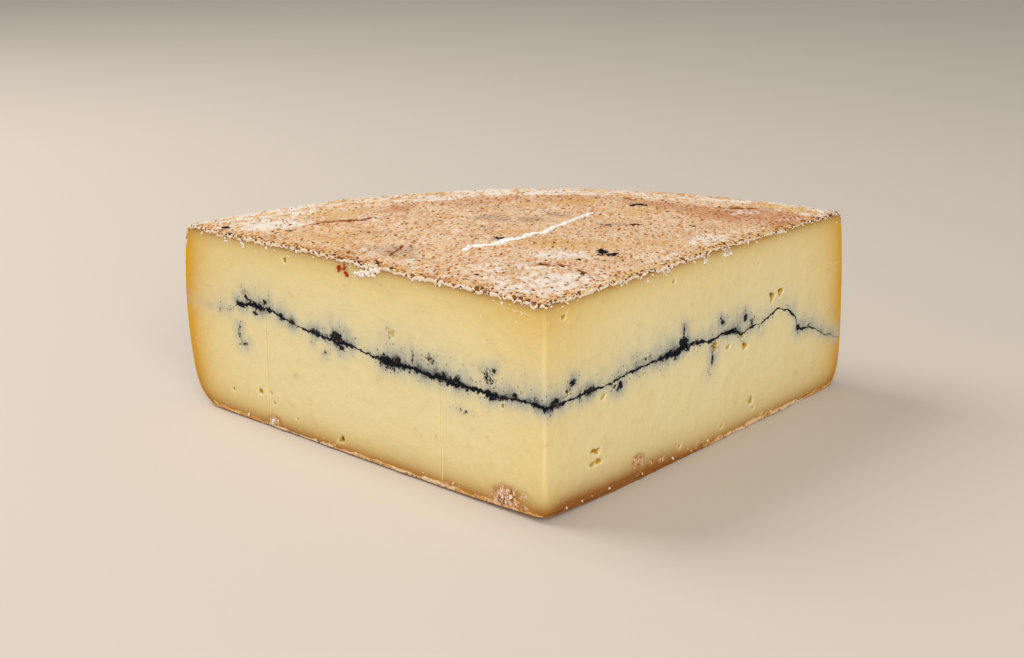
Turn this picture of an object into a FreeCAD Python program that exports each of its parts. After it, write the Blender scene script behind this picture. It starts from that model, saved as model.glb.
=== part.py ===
"""Quarter of a pressed, semi-soft cheese wheel with a thin layer of ash through its middle.

Frame: +Z up and the flat underside on z = 0. The wheel's axis, where the two cut faces meet, points
towards -Y, and the bulging rind towards +Y. The origin is the middle of the bounding box's base.
Sizes are in millimetres and live in the spreadsheet "Sizes".
"""
import FreeCAD
import Part
import Sketcher

import math
import os

SIZES = [
    ("wheel_radius", 175, "axis to the fullest part of the side"),
    ("sector_angle", 90, "degrees between the cut faces"),
    ("centre_height", 71.5, "height at the wheel's axis"),
    ("rim_height", 68.5, "height at the rim, which sags below the middle"),
    ("rim_inset", 4, "how far the top edge lies inside wheel_radius"),
    ("bulge_height", 36, "height of the fullest part of the side"),
    ("side_curve", 130, "radius of the side's bulge, seen in section"),
    ("foot_round", 12, "radius of the slumped lower edge"),
    ("rim_round", 2.5, "radius of the pressed upper edge"),
    ("hollow_radius", 30, "reach of the shallow hollow under the axis"),
    ("hollow_rise", 2.6, "how far the underside rises at the axis"),
    ("hollow_blend", 80, "radius that eases the hollow into the flat underside"),
    ("ash_height", 38.2, "usual height of the ash layer's middle"),
    ("ash_thickness", 1.8, "thickness of the ash layer near the axis"),
    ("ash_rim_thickness", 0.9, "thickness of the ash layer at its outer end"),
    ("ash_reach", 162, "axis to the ash layer's outer end"),
    ("ash_swell", 7, "rise of the layer towards the rind of the left cut"),
    ("ash_swell_at", 137, "radius of the top of that rise"),
    ("ash_swell_inner", 30, "how far that rise spreads towards the axis"),
    ("ash_swell_outer", 12, "how far that rise spreads towards the rind"),
    ("ash_drop", 15, "fall of the layer towards the rind of the right cut"),
    ("ash_drop_at", 145, "radius of the middle of that fall"),
    ("ash_drop_width", 9, "how gradual that fall is"),
    ("ash_wave", 1.8, "height of the layer's slow waves where they are highest"),
    ("ash_wave_length", 92, "length of the layer's slow waves"),
    ("ash_wave_start", 43, "radius where the slow waves rise through the middle"),
]
ASH_GRID = 29  # points each way that the layer's surfaces pass through
ASH_MARGIN = 6  # how far the uncut layer runs past the cut faces and its reach
NEAR = 0.1  # how close an edge lies to the place that it is looked for at


def make_sheet(doc):
    """The driving sizes, one row each: alias, value and what it means."""
    sheet = doc.addObject("Spreadsheet::Sheet", "Sizes")
    for row, (alias, value, meaning) in enumerate(SIZES, start=1):
        sheet.set(f"A{row}", alias)
        sheet.set(f"B{row}", str(value))
        sheet.set(f"C{row}", meaning)
        sheet.setAlias(f"B{row}", alias)
    doc.recompute()
    return sheet


def origin_plane(body, role):
    """One of a body's own origin planes, found by its role."""
    return next(o for o in body.Origin.OriginFeatures if o.Role == role)


def bind_dimension(sketch, name, kind, elements, start_value, expression):
    """Adds a named dimension to a sketch and drives it from the spreadsheet."""
    index = sketch.addConstraint(Sketcher.Constraint(kind, *elements, start_value))
    sketch.renameConstraint(index, name)
    sketch.setExpression(f"Constraints.{name}", expression)


def arc(centre, radius, start, end):
    """A circular arc in a sketch, anticlockwise from one point to another."""
    middle = FreeCAD.Vector(centre[0], centre[1], 0)
    angles = [math.atan2(y - centre[1], x - centre[0]) for x, y in (start, end)]
    circle = Part.Circle(middle, FreeCAD.Vector(0, 0, 1), radius)
    return Part.ArcOfCircle(circle, *angles)


def draw_half_section(sketch, sheet):
    """Half of the wheel's upright section: hollow, foot, bulging side, domed top and axis."""
    rise, reach = sheet.hollow_rise, sheet.hollow_radius
    hollow_curve = (reach**2 + rise**2) / (2 * rise)
    side_x = sheet.wheel_radius - sheet.side_curve
    side_z = sheet.bulge_height
    foot_x = side_x + math.sqrt(sheet.side_curve**2 - side_z**2)
    rim = (sheet.wheel_radius - sheet.rim_inset, sheet.rim_height)
    dome_rise = sheet.centre_height - sheet.rim_height
    dome_curve = (rim[0] ** 2 + dome_rise**2) / (2 * dome_rise)
    dome_z = sheet.centre_height - dome_curve

    hollow = sketch.addGeometry(
        arc((0, rise - hollow_curve), hollow_curve, (reach, 0), (0, rise))
    )
    base = sketch.addGeometry(
        Part.LineSegment(FreeCAD.Vector(reach, 0, 0), FreeCAD.Vector(foot_x, 0, 0))
    )
    side = sketch.addGeometry(arc((side_x, side_z), sheet.side_curve, (foot_x, 0), rim))
    dome = sketch.addGeometry(
        arc((0, dome_z), dome_curve, rim, (0, sheet.centre_height))
    )
    axis = sketch.addGeometry(
        Part.LineSegment(
            FreeCAD.Vector(0, sheet.centre_height, 0), FreeCAD.Vector(0, rise, 0)
        )
    )

    start, end, centre = 1, 2, 3
    x_axis, z_axis, root = -1, -2, 1
    for first, first_end, second, second_end in [
        (hollow, start, base, start),
        (base, end, side, start),
        (side, end, dome, start),
        (dome, end, axis, start),
        (axis, end, hollow, end),
    ]:
        sketch.addConstraint(
            Sketcher.Constraint("Coincident", first, first_end, second, second_end)
        )
    for geometry, point, line in [
        (hollow, centre, z_axis),
        (dome, centre, z_axis),
        (axis, start, z_axis),
        (axis, end, z_axis),
        (base, start, x_axis),
        (base, end, x_axis),
    ]:
        sketch.addConstraint(
            Sketcher.Constraint("PointOnObject", geometry, point, line)
        )
    distance_x, distance_y = "DistanceX", "DistanceY"
    origin = (x_axis, root)
    for name, kind, elements, value, expression in [
        ("hollow_rise", distance_y, (*origin, axis, end), rise, "Sizes.hollow_rise"),
        ("hollow_reach", distance_x, (*origin, base, start), reach, "Sizes.hollow_radius"),
        ("side_curve", "Radius", (side,), sheet.side_curve, "Sizes.side_curve"),
        ("bulge_height", distance_y, (*origin, side, centre), side_z, "Sizes.bulge_height"),
        (
            "side_centre",
            distance_x,
            (*origin, side, centre),
            side_x,
            "Sizes.wheel_radius - Sizes.side_curve",
        ),
        ("rim_height", distance_y, (*origin, side, end), rim[1], "Sizes.rim_height"),
        (
            "centre_height",
            distance_y,
            (*origin, axis, start),
            sheet.centre_height,
            "Sizes.centre_height",
        ),
    ]:
        bind_dimension(sketch, name, kind, elements, value, expression)


def edge_names(shape, wanted):
    """Names of the edges whose middle point passes the test."""
    names = []
    for number, edge in enumerate(shape.Edges, start=1):
        middle = edge.valueAt((edge.FirstParameter + edge.LastParameter) / 2)
        if wanted(math.hypot(middle.x, middle.y), middle.z, edge):
            names.append(f"Edge{number}")
    return names


def add_fillet(doc, body, base, label, wanted, expression):
    """Rounds the edges of base that pass the test, by a radius from the spreadsheet."""
    fillet = body.newObject("PartDesign::Fillet", label)
    fillet.Base = (base, edge_names(base.Shape, wanted))
    fillet.setExpression("Radius", expression)
    doc.recompute()
    return fillet


def make_wheel_quarter(doc, sheet):
    """The quarter wheel before its ash layer: a half section turned through the sector."""
    body = doc.addObject("PartDesign::Body", "WheelQuarter")
    sketch = body.newObject("Sketcher::SketchObject", "HalfSection")
    sketch.AttachmentSupport = [(origin_plane(body, "YZ_Plane"), "")]
    sketch.MapMode = "FlatFace"
    draw_half_section(sketch, sheet)
    doc.recompute()

    turned = body.newObject("PartDesign::Revolution", "TurnedQuarter")
    turned.Profile = sketch
    turned.ReferenceAxis = (sketch, ["V_Axis"])
    turned.Midplane = True
    turned.setExpression("Angle", "Sizes.sector_angle")
    doc.recompute()

    def is_hollow_edge(radius, z, edge):
        return abs(radius - sheet.hollow_radius) < NEAR and abs(z) < NEAR

    def is_outer_arc(radius, edge):
        return radius > sheet.wheel_radius / 2 and isinstance(edge.Curve, Part.Circle)

    def is_foot_edge(radius, z, edge):
        return is_outer_arc(radius, edge) and abs(z) < NEAR

    def is_rim_edge(radius, z, edge):
        return is_outer_arc(radius, edge) and abs(z - sheet.rim_height) < NEAR

    hollow = add_fillet(doc, body, turned, "EasedHollow", is_hollow_edge, "Sizes.hollow_blend")
    foot = add_fillet(doc, body, hollow, "SlumpedFoot", is_foot_edge, "Sizes.foot_round")
    rim = add_fillet(doc, body, foot, "PressedRim", is_rim_edge, "Sizes.rim_round")
    body.Tip = rim
    body.setExpression("Placement.Base.y", "-Sizes.wheel_radius / 2")
    doc.recompute()
    return body


def ash_middle(sheet, x, y):
    """Height of the ash layer's middle at a point, with x and y measured from the wheel's axis.

    The layer swells upwards near the rind of the left cut and drops near the rind of the right
    cut, and the share of each fades from one cut face to the other.
    """
    radius = math.hypot(x, y)
    half = math.radians(sheet.sector_angle) / 2
    angle = math.atan2(x, y) if radius > 0 else 0
    right_share = min(1, max(0, 0.5 + angle / (2 * half)))
    left_share = 1 - right_share
    past_swell = radius - sheet.ash_swell_at
    spread = sheet.ash_swell_inner if past_swell < 0 else sheet.ash_swell_outer
    swell = math.exp(-((past_swell / spread) ** 2))
    drop = 0.5 + 0.5 * math.tanh((radius - sheet.ash_drop_at) / sheet.ash_drop_width)
    turns = (radius - sheet.ash_wave_start) / sheet.ash_wave_length
    wave = math.sin(2 * math.pi * turns) * radius / sheet.ash_reach
    return (
        sheet.ash_height
        + sheet.ash_swell * swell * left_share
        - sheet.ash_drop * drop * right_share
        + sheet.ash_wave * wave
    )


def ash_half_thickness(sheet, x, y):
    """Half the layer's thickness, which thins evenly from the axis to its reach."""
    share = min(1, math.hypot(x, y) / sheet.ash_reach)
    full = sheet.ash_thickness + (sheet.ash_rim_thickness - sheet.ash_thickness) * share
    return full / 2


def ash_surface(sheet, side):
    """The layer's upper (side 1) or lower (side -1) skin, as one smooth spline surface."""
    reach = sheet.ash_reach + ASH_MARGIN
    half_width = reach * math.sin(math.radians(sheet.sector_angle) / 2) + ASH_MARGIN
    rows = []
    for i in range(ASH_GRID):
        x = half_width * (2 * i / (ASH_GRID - 1) - 1)
        row = []
        for j in range(ASH_GRID):
            y = -ASH_MARGIN + (reach + ASH_MARGIN) * j / (ASH_GRID - 1)
            z = ash_middle(sheet, x, y) + side * ash_half_thickness(sheet, x, y)
            row.append(FreeCAD.Vector(x, y, z))
        rows.append(row)
    surface = Part.BSplineSurface()
    surface.interpolate(rows)
    return surface


def borders(skin):
    """The four border curves of a spline surface, as edges."""
    u_low, u_high, v_low, v_high = skin.bounds()
    curves = [skin.uIso(u_low), skin.uIso(u_high), skin.vIso(v_low), skin.vIso(v_high)]
    return [curve.toShape() for curve in curves]


def make_ash_blank(doc, sheet):
    """The wavy layer before it is trimmed to the wheel: two spline skins and their walls."""
    skins = [ash_surface(sheet, side) for side in (1, -1)]
    walls = [
        Part.makeRuledSurface(upper, lower)
        for upper, lower in zip(borders(skins[0]), borders(skins[1]))
    ]
    shell = Part.makeShell([skin.toShape() for skin in skins] + walls)
    shell.sewShape()
    solid = Part.makeSolid(shell)
    if solid.Volume < 0:
        solid.reverse()
    blank = doc.addObject("Part::Feature", "AshBlank")
    blank.Shape = solid
    blank.Placement = FreeCAD.Placement(
        FreeCAD.Vector(0, -sheet.wheel_radius / 2, 0), FreeCAD.Rotation()
    )
    return blank


def make_ash_reach(doc):
    """The pie-shaped block that the layer is trimmed to, between the cut faces."""
    sector = doc.addObject("Part::Cylinder", "AshReach")
    sector.setExpression("Radius", "Sizes.ash_reach")
    sector.setExpression("Height", "Sizes.centre_height")
    sector.setExpression("Angle", "Sizes.sector_angle")
    sector.setExpression("Placement.Base.y", "-Sizes.wheel_radius / 2")
    sector.setExpression("Placement.Rotation.Angle", "90 - Sizes.sector_angle / 2")
    return sector


def make_boolean(doc, kind, label, base, tool):
    """A boolean of two objects, named for the node that it gives."""
    result = doc.addObject(kind, label)
    result.Base = base
    result.Tool = tool
    result.Label = label
    return result


def check_document(doc, nodes):
    """Stops if an object failed to compute or a node isn't one sound solid."""
    for item in doc.Objects:
        if {"Invalid", "Error"} & set(item.State):
            raise RuntimeError(f"{item.Label} failed: {item.State}")
    for node in nodes:
        shape = node.Shape
        if shape.isNull() or not shape.isValid() or len(shape.Solids) != 1:
            raise RuntimeError(f"{node.Label} isn't one valid solid")


def main():
    doc = FreeCAD.newDocument("CheeseQuarter")
    sheet = make_sheet(doc)
    quarter = make_wheel_quarter(doc, sheet)
    blank = make_ash_blank(doc, sheet)
    reach = make_ash_reach(doc)
    doc.recompute()

    ash = make_boolean(doc, "Part::Common", "ash_layer", blank, reach)
    doc.recompute()
    paste = make_boolean(doc, "Part::Cut", "paste", quarter, ash)
    doc.recompute()

    nodes = [paste, ash]
    check_document(doc, nodes)
    os.makedirs("parts", exist_ok=True)
    for node in nodes:
        node.Shape.exportStep(os.path.join("parts", f"{node.Label}.step"))
        box = node.Shape.optimalBoundingBox()
        print(
            f"{node.Label}: {node.Shape.Volume / 1000:.1f} cm3, faces {len(node.Shape.Faces)}, "
            f"x {box.XMin:.2f}..{box.XMax:.2f}, y {box.YMin:.2f}..{box.YMax:.2f}, "
            f"z {box.ZMin:.2f}..{box.ZMax:.2f}"
        )


main()
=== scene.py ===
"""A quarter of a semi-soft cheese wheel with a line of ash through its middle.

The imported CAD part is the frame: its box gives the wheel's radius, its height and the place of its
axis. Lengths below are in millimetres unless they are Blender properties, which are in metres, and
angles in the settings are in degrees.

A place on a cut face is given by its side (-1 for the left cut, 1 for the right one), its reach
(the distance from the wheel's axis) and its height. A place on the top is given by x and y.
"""

import math

import bpy
import numpy as np
from mathutils import Euler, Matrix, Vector, geometry


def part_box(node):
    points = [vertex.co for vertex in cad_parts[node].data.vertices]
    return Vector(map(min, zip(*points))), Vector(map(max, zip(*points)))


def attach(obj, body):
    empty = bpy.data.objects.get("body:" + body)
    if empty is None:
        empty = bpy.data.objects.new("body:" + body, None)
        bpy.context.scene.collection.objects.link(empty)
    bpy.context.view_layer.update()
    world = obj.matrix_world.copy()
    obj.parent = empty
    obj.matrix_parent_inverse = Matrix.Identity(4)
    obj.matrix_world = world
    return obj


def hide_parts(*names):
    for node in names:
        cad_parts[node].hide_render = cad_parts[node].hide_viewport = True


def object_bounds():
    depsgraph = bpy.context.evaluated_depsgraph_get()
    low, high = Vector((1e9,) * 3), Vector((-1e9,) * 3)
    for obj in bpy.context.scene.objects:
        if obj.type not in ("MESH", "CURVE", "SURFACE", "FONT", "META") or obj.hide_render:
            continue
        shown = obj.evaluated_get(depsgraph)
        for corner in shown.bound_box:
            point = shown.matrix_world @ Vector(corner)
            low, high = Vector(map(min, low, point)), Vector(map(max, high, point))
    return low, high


bl_info = {
    "name": "Cheese Quarter",
    "version": (1, 0, 0),
    "blender": (4, 5, 0),
    "location": "3D View > Sidebar > Cheese",
    "description": "Builds a quarter of a semi-soft cheese wheel with its rind and its ash layer",
    "category": "Add Mesh",
}

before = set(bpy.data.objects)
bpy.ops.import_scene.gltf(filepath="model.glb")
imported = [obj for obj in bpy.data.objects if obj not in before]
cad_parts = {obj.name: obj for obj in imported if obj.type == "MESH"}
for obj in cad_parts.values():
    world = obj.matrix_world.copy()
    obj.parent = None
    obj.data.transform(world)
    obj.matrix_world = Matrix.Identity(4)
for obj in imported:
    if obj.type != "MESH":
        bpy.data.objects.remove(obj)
cad_low, cad_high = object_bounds()

MM = 0.001
HALF_TURN = math.radians(45)  # from the middle of the quarter to each cut face
PASTE_LOW, PASTE_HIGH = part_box("paste")
WHEEL_RADIUS = (PASTE_HIGH.x - PASTE_LOW.x) / 2 / math.sin(HALF_TURN) / MM
HEIGHT = PASTE_HIGH.z / MM
AXIS_Y = PASTE_LOW.y / MM
LEFT, RIGHT = -1, 1

# The ash line on each cut: reach and height, from the pointed edge to the rind.
ASH_LINES = {
    LEFT: [
        (0, 38.3), (9, 38.9), (22, 37.6), (44, 38), (57, 38.6), (68, 38.2), (86, 39.9),
        (110, 41.3), (122, 43.5), (136, 45.2), (143, 43.9), (150, 40.6), (162, 39.6), (176, 39),
    ],
    RIGHT: [
        (0, 38), (17, 37.8), (30, 37.7), (50, 39.4), (60, 39.4), (66, 38.9), (72, 40), (80, 39.5),
        (87, 38), (93, 38.9), (100, 38.6), (104, 37.6), (106, 36), (111, 37.6), (118, 37),
        (129, 40.3), (136, 38.2), (141, 34), (143, 29), (152, 28), (162, 22.8), (176, 17.5),
    ],
}
# How thick the ash is along each cut: reach and thickness.
ASH_BREADTHS = {
    LEFT: [
        (0, 1), (8, 0.9), (14, 0.8), (21, 1.8), (26, 1.1), (34, 1.7), (42, 2.4), (50, 1.3),
        (58, 1.3), (64, 1.9), (67, 2.8), (71, 1), (75, 0.5), (83, 0.45), (88, 1.6), (92, 2.5),
        (96, 1), (104, 0.9), (108, 0.5), (113, 0.45), (117, 0.6), (121, 1.2), (124, 0.5),
        (127, 1.5), (130, 0.6), (135, 1.9), (139, 1.1), (143, 1), (146, 0.3),
        (155, 0.2), (158, 0), (176, 0),
    ],
    RIGHT: [
        (0, 1), (6, 1.2), (12, 0.7), (20, 1.3), (28, 0.5), (44, 0.7), (56, 0.7), (62, 1.8),
        (68, 2.3), (72, 2.6), (76, 1.1), (81, 1.3), (84, 0.7), (88, 1.1), (93, 0.8), (101, 1.2),
        (106, 0.8), (112, 0.6), (124, 0.55), (134, 0.45), (143, 1), (150, 0.5), (158, 0.35),
        (168, 0.3), (174, 0.2), (176, 0),
    ],
}
# Blots of ash beside the line: side, reach, height, half length, half height, tilt in degrees
# and strength.
ASH_BLOTS = [
    (LEFT, 139, 46.2, 3, 1.2, 30, 0.6), (LEFT, 143, 43.6, 2.4, 0.8, 15, 0.95),
    (LEFT, 133, 44.4, 3.2, 0.8, 0, 1), (LEFT, 135, 42, 1.2, 0.7, 0, 0.6),
    (LEFT, 140, 48.6, 1.2, 1, 60, 0.4), (LEFT, 121, 43.7, 1.1, 0.7, 0, 1),
    (LEFT, 115.5, 42.7, 1.3, 0.7, 0, 1), (LEFT, 103.5, 41.3, 2.4, 0.9, 0, 1),
    (LEFT, 130, 47, 3, 1, -10, 0.4), (LEFT, 92.4, 41.8, 2, 1.6, 0, 1.2),
    (LEFT, 90, 38.6, 1.3, 0.8, 0, 0.9), (LEFT, 68.5, 38.6, 2.6, 1.7, 0, 1),
    (LEFT, 63, 40, 1.6, 1.2, 0, 0.8), (LEFT, 56, 42, 0.5, 2.6, 0, 0.6),
    (LEFT, 47.5, 43.2, 2.2, 1.5, 50, 0.45), (LEFT, 36.5, 39.2, 1.3, 1.3, 0, 1),
    (LEFT, 22, 37.6, 2.2, 1.3, 0, 1), (LEFT, 23, 43.5, 3, 1.6, 40, 0.5), (LEFT, 3.5, 38.7, 1.5, 0.7, 0, 1),
    (LEFT, 20.5, 46, 0.8, 1.2, 0, 0.5), (LEFT, 12, 39.6, 1, 0.9, 0, 0.9),
    (LEFT, 104.5, 37.4, 0.9, 0.7, 0, 0.3), (LEFT, 98.5, 35, 1.7, 0.8, -35, 0.35),
    (LEFT, 144.8, 34.5, 0.6, 1.6, 15, 0.55), (LEFT, 144.5, 31.3, 0.6, 1.5, -15, 0.6),
    (LEFT, 142.3, 28.9, 1.8, 0.5, -15, 0.6), (LEFT, 156, 39.8, 1.4, 1, 0, 0.22),
    (LEFT, 67, 48, 1, 1.6, 0, 0.3), (LEFT, 34, 29.5, 3.6, 1, 0, 0.2),
    (RIGHT, 13.2, 43, 1.7, 1, 25, 0.8), (RIGHT, 10.5, 41, 1.5, 1, 50, 0.5),
    (RIGHT, 36.6, 35.8, 1.4, 1, 20, 0.95), (RIGHT, 34, 36.4, 1, 0.6, 0, 0.6),
    (RIGHT, 4.5, 39.2, 1.5, 0.9, 0, 1), (RIGHT, 22, 38.3, 2, 0.9, 0, 1), (RIGHT, 99, 38.7, 2, 0.7, 0, 1),
    (RIGHT, 16.8, 38, 0.6, 1, 0, 0.95), (RIGHT, 71.3, 41.4, 2, 1.6, 0, 1.2),
    (RIGHT, 71.2, 45, 0.5, 2.4, 0, 0.75), (RIGHT, 63, 40.2, 1.8, 0.8, 10, 1),
    (RIGHT, 89, 36, 1.2, 1.2, 0, 0.9), (RIGHT, 88.4, 32, 0.55, 1.8, -5, 0.75),
    (RIGHT, 86.6, 27.5, 0.5, 1.5, -15, 0.35), (RIGHT, 94, 43.5, 1.1, 0.55, -20, 0.95),
    (RIGHT, 92.8, 45, 0.4, 1, 20, 0.55), (RIGHT, 108.2, 42, 0.8, 1.1, -5, 1),
    (RIGHT, 100.5, 39, 1.4, 0.7, 0, 1), (RIGHT, 112, 39.3, 1.2, 1.2, 45, 0.5),
    (RIGHT, 106.3, 36, 1.1, 0.7, -20, 0.9), (RIGHT, 117.6, 36, 0.4, 1, 0, 0.6),
    (RIGHT, 143, 29.8, 0.9, 1, -30, 0.95), (RIGHT, 150.5, 28.9, 0.7, 0.6, 0, 0.6),
    (RIGHT, 51, 41.5, 2.4, 1, 0, 0.3),
]
# Eyes in the paste: side, reach, height, half length, half height, tilt in degrees and depth.
EYES = [
    (LEFT, 150.3, 10, 0.75, 0.7, 0, 0.9), (LEFT, 134.7, 12.7, 1.15, 0.95, 0, 1.5),
    (LEFT, 129.2, 13.2, 0.85, 0.85, 0, 1.2), (LEFT, 127.4, 9.8, 0.9, 0.6, 0, 0.8),
    (LEFT, 114.9, 7, 0.55, 0.6, 0, 0.9), (LEFT, 91.8, 5, 1.6, 0.9, -35, 1.9),
    (LEFT, 118, 64.3, 0.9, 0.75, 0, 1.2), (LEFT, 65.6, 48.6, 1.5, 1.4, 0, 0.45),
    (LEFT, 17.2, 35.2, 0.6, 0.7, 0, 1.3), (LEFT, 54, 34.8, 0.5, 0.5, 0, 0.6),
    (LEFT, 23.8, 55.3, 0.5, 0.5, 0, 0.4), (LEFT, 96, 62.4, 0.45, 0.4, 0, 0.4),
    (RIGHT, 9.1, 65.2, 1, 0.75, 10, 1.3), (RIGHT, 65, 64.3, 0.85, 0.65, 20, 0.9),
    (RIGHT, 115, 60, 0.5, 0.75, 0, 0.6), (RIGHT, 124.7, 45.9, 1.55, 1.15, -25, 2),
    (RIGHT, 124.9, 44.7, 0.7, 1.1, 0, 1.6), (RIGHT, 130.2, 46.2, 1.35, 1.4, 30, 2.2),
    (RIGHT, 28.4, 34.3, 1.15, 0.7, 25, 1.2), (RIGHT, 90, 35.7, 1.15, 1.6, 0, 2.2),
    (RIGHT, 98, 33.4, 1.2, 0.7, 5, 1.2), (RIGHT, 108.2, 31.3, 1.5, 1.1, -25, 2),
    (RIGHT, 106.8, 35.8, 1.1, 0.9, 0, 1.6), (RIGHT, 117.6, 35.6, 0.55, 1, 0, 1),
    (RIGHT, 24.2, 17.3, 1.6, 0.6, -10, 1.2), (RIGHT, 26, 16.7, 1.3, 0.75, 25, 1.3),
    (RIGHT, 23.6, 13, 1.4, 0.75, 5, 1.3), (RIGHT, 26.3, 13.2, 1.5, 0.8, -15, 1.5),
    (RIGHT, 113.4, 9.6, 1.1, 1.5, -20, 1.7), (RIGHT, 115, 6.4, 0.7, 0.9, 40, 0.8),
    (RIGHT, 70.5, 4.9, 0.8, 0.6, 0, 1), (RIGHT, 95.2, 4.9, 0.9, 0.6, 0, 1),
    (RIGHT, 120.5, 2.6, 0.6, 0.5, 0, 0.9), (RIGHT, 78, 37.8, 0.6, 0.8, 0, 0.9),
]
# Creases in the cut faces: side, reach and height of each end, groove depth, step and how plain its
# line is, that is how strongly its painted shadow and painted highlight show.
CREASES = [
    (LEFT, 129.4, 42, 130.4, 2, 0.35, 0.2, 0.7), (LEFT, 43.6, 35.6, 44.5, 2, 0.2, 0.2, 0.6),
    (LEFT, 88, 29, 88.4, 12, 0, 0.03, 0.3), (LEFT, 100, 61.6, 40, 64.8, 0, 0.02, 0.16),
    (LEFT, 82, 61.3, 41, 65.2, 0, 0, 0.12), (LEFT, 20, 67.6, 6, 66.3, 0, 0.03, 0.4),
    (LEFT, 15, 67.3, 9.5, 65.7, 0, 0, 0.5), (LEFT, 168, 38, 150, 27, 0, 0, 0.25),
    (LEFT, 115.7, 55, 115.2, 46, 0, 0, 0.35), (LEFT, 103, 51, 103.2, 43, 0, 0, 0.35),
    (LEFT, 93, 54, 93.2, 45, 0, 0, 0.3), (LEFT, 70, 34, 70.4, 24, 0, 0, 0.3),
    (RIGHT, 103, 47.3, 172, 49.8, 0, 0.06, 0.4), (RIGHT, 119, 5.8, 124, 5.2, 0, 0, 0.5),
]
# Pieces of brown rind pressed into the cut faces near the foot: side, reach, height, half length,
# half height and roughness.
RIND_SPOTS = [
    (LEFT, 15, 5, 5.4, 3.4, 1), (LEFT, 8, 3.2, 4, 1.6, 0.6), (RIGHT, 47.2, 6.9, 2.6, 2.2, 0.9),
    (LEFT, 19, 2.4, 5, 1.4, 0.6), (RIGHT, 54.4, 4, 1.4, 1.2, 0.7),
    (RIGHT, 60.4, 3.4, 1.5, 1.1, 0.7), (LEFT, 127, 3.4, 3.4, 1.6, 0.7), (LEFT, 40, 2.6, 4, 1, 0.5),
]

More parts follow.
